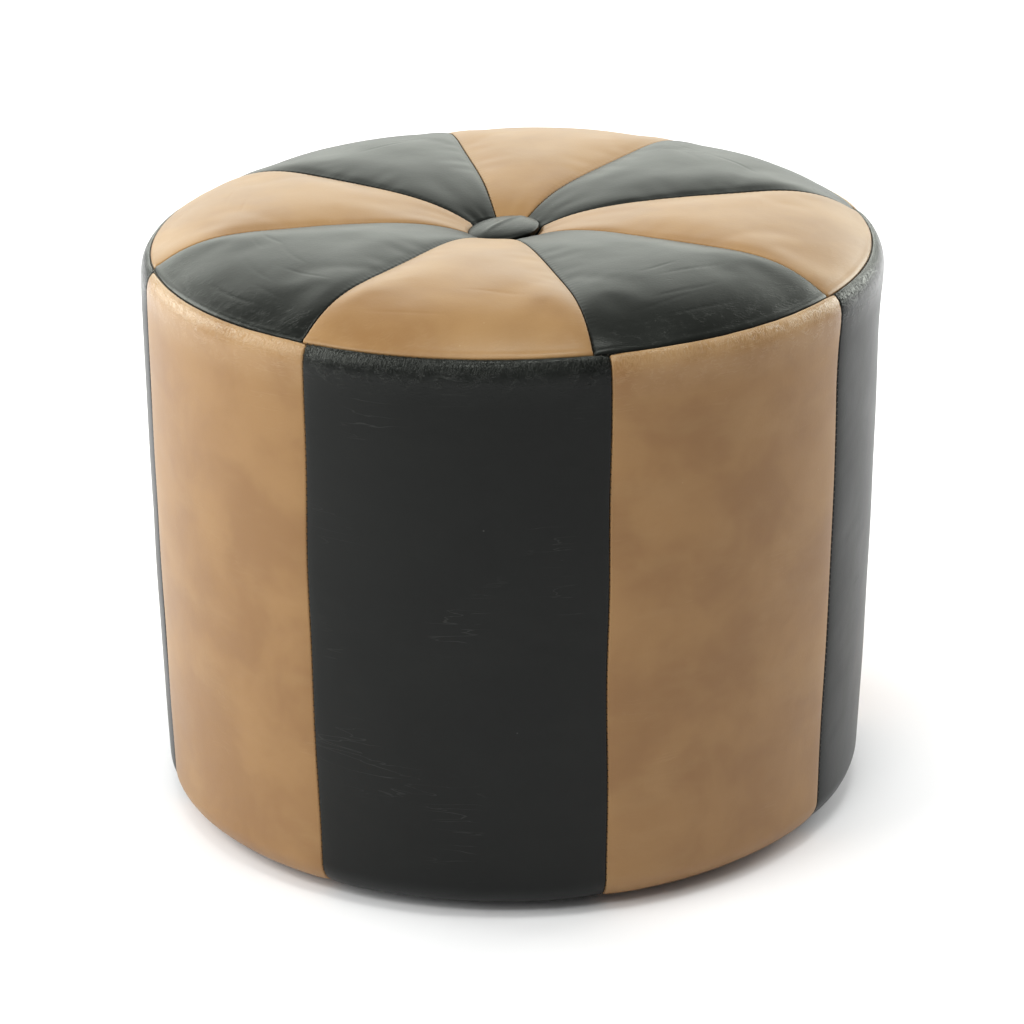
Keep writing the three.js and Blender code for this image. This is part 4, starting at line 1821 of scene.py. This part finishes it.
@dataclass(frozen=True)
class Studio:
    """A pale floor, soft lights and the camera."""

    sizes: Sizes
    azimuth: float = -11.87
    elevation: float = 21.77
    roll: float = -0.986
    distance: float = 10.84
    aim_height: float = 0.7454
    aim_aside: float = 0.0067
    lens: float = 137.0
    floor_radius: float = 14.0
    glow_start: float = 1.0
    glow_full: float = 4.0
    sky: float = 0.31

    def set_up(self) -> None:
        """Put everything round the pouf in place."""
        self._camera()
        self._floor()
        self._world()
        middle = Vector((0, 0, self.sizes.seam_height / 2))
        for box in (
            Softbox("back_box", 168, 26, 2.3, 3.2, 1.8, 50),
            Softbox("top_box", 0, 78, 2.0, 0.8, 0.6, 18),
            Softbox("left_box", -72, 30, 2.2, 1.2, 1.6, 28.5),
            Softbox("left_back_box", -128, 18, 2.2, 1.2, 1.2, 36),
            Softbox("right_back_box", 112, 18, 2.2, 1.2, 1.2, 39),
            Softbox("front_box", -24, 48, 2.6, 1.0, 0.4, 13),
        ):
            box.hang(middle)

    def _camera(self) -> None:
        """Make the camera, at the distance and heights given in rim radii."""
        radius = self.sizes.rim_radius
        data = bpy.data.cameras.new("camera")
        data.lens = self.lens
        data.sensor_width = 36.0
        camera = bpy.data.objects.new("camera", data)
        bpy.context.scene.collection.objects.link(camera)
        sideways = Vector((math.cos(math.radians(self.azimuth)), math.sin(math.radians(self.azimuth)), 0))
        target = Vector((0, 0, self.aim_height * radius + self.sizes.hide_low))
        target += sideways * self.aim_aside * radius
        back = aim(self.azimuth, self.elevation)
        over = back.cross(sideways)
        turn = math.radians(self.roll)
        right = sideways * math.cos(turn) + over * math.sin(turn)
        up = back.cross(right)
        place = target + back * self.distance * radius
        camera.matrix_world = Matrix((
            (right.x, up.x, back.x, place.x),
            (right.y, up.y, back.y, place.y),
            (right.z, up.z, back.z, place.z),
            (0, 0, 0, 1),
        ))
        bpy.context.scene.camera = camera

    def _floor(self) -> None:
        """Make a wide pale floor, which glows softly far from the pouf, where the lights don't reach."""
        rim = around(self.floor_radius, full_circle(96), 0.0)
        floor = make_object("studio_floor", rim, [list(range(len(rim)))])
        graph = Graph("floor_paint")
        cloud = graph.noise(graph.position(), 1.5, 3.0)
        tone = graph.mix(cloud.ramp(0.3, 0.7), (0.83, 0.8, 0.87), (0.85, 0.82, 0.89))
        across, along, _ = graph.split(graph.position())
        distance = (across * across + along * along) ** 0.5
        glow = graph.mix(distance.ramp(self.glow_start, self.glow_full), grey(0.0), grey(0.5))
        floor.data.materials.append(graph.finish(
            Base_Color=tone,
            Roughness=0.9,
            Specular_IOR_Level=0.1,
            Emission_Color=glow,
            Emission_Strength=1.0,
        ))

    def _world(self) -> None:
        """Light the scene evenly from all round."""
        world = bpy.data.worlds.new("studio")
        world.use_nodes = True
        backdrop = world.node_tree.nodes["Background"]
        backdrop.inputs["Color"].default_value = (*STUDIO_TINT, 1)
        backdrop.inputs["Strength"].default_value = self.sky
        bpy.context.scene.world = world
        view = bpy.context.scene.view_settings
        view.view_transform = "Standard"
        view.look = "None"


def sew_cover(sizes: Sizes, side: Cover, seat: Cover) -> None:
    """Sew the seams of the seat, the side and the rim.

    Args:
        sizes: The cover's sizes.
        side: The ring of side panels.
        seat: The ring of seat wedges.
    """
    thread = THREAD.material()
    stitcher = Stitcher(
        "stitch_row", pitch=sizes.stitch, length=2.3 * MM, thickness=0.55 * MM, slew=math.radians(68)
    )
    side_end, seat_end = side.contour.length - 2 * MM, seat.contour.length - 20 * MM
    side_rows = [Row(*side.seam_path(index, 30 * MM, side_end)) for index in range(PANELS)]
    seat_rows = [Row(*seat.seam_path(index, 2 * MM, seat_end)) for index in range(PANELS)]
    rim = sizes.shifted(around(sizes.seam_radius, full_circle(720), sizes.seam_height - 0.55 * MM))
    rim_row = Row(rim, np.tile([0.0, 0.0, 1.0], (len(rim), 1)), closed=True)
    stitcher.sew("side_seam_stitches", side_rows, THREAD, thread)
    stitcher.sew("seat_seam_stitches", seat_rows, THREAD, thread)
    stitcher.sew("rim_seam_stitches", [rim_row], THREAD, thread)


def main() -> None:
    """Build the pouf and the studio round it."""
    logging.basicConfig(level=logging.INFO, format="%(name)s: %(message)s")
    sizes = Sizes.from_frame()
    hides = {Panel.TAN: (TAN, TAN.material()), Panel.BLACK: (BLACK, BLACK.material())}
    side = Cover(
        sizes, side_contour(sizes), "side_hide", "side_panel", sizes.side_lag, True, Panel.TAN,
        Blow(pressure=3.0, slack=0.002, frames=22, cap=2.2 * MM, smoothing=10),
        valley=0.9 * MM, valley_width=5 * MM, row_step=1.3 * MM, columns=20,
        flat=(0.182, 0.405), area=0.067, rests_on="side_padding", slips=(0, -2, -1, 1, -1, 1, -4, -5),
    )
    seat = Cover(
        sizes, seat_contour(sizes), "seat_hide", "top_panel", 0.0, False, Panel.BLACK,
        Blow(pressure=4.0, slack=0.008, frames=22, cap=4.4 * MM, smoothing=5),
        valley=0.9 * MM, valley_width=5 * MM, row_step=1.0 * MM, columns=18,
        flat=(0.178, 0.225), area=0.0205, rests_on="seat_wadding",
    )
    side.dress_all(hides)
    seat.dress_all(hides)
    Filling(sizes, side, seat).dress_all()
    Button(sizes).dress(BLACK, hides[Panel.BLACK][1])
    metals = Drum().dress()
    sew_cover(sizes, side, seat)
    stapler = Stitcher("staple_row", pitch=37 * MM, length=10 * MM, thickness=0.7 * MM, slew=0.0)
    DustCover(sizes).dress(stapler, metals[ZINC.name])
    Studio(sizes).set_up()


if __name__ == "__main__":
    main()
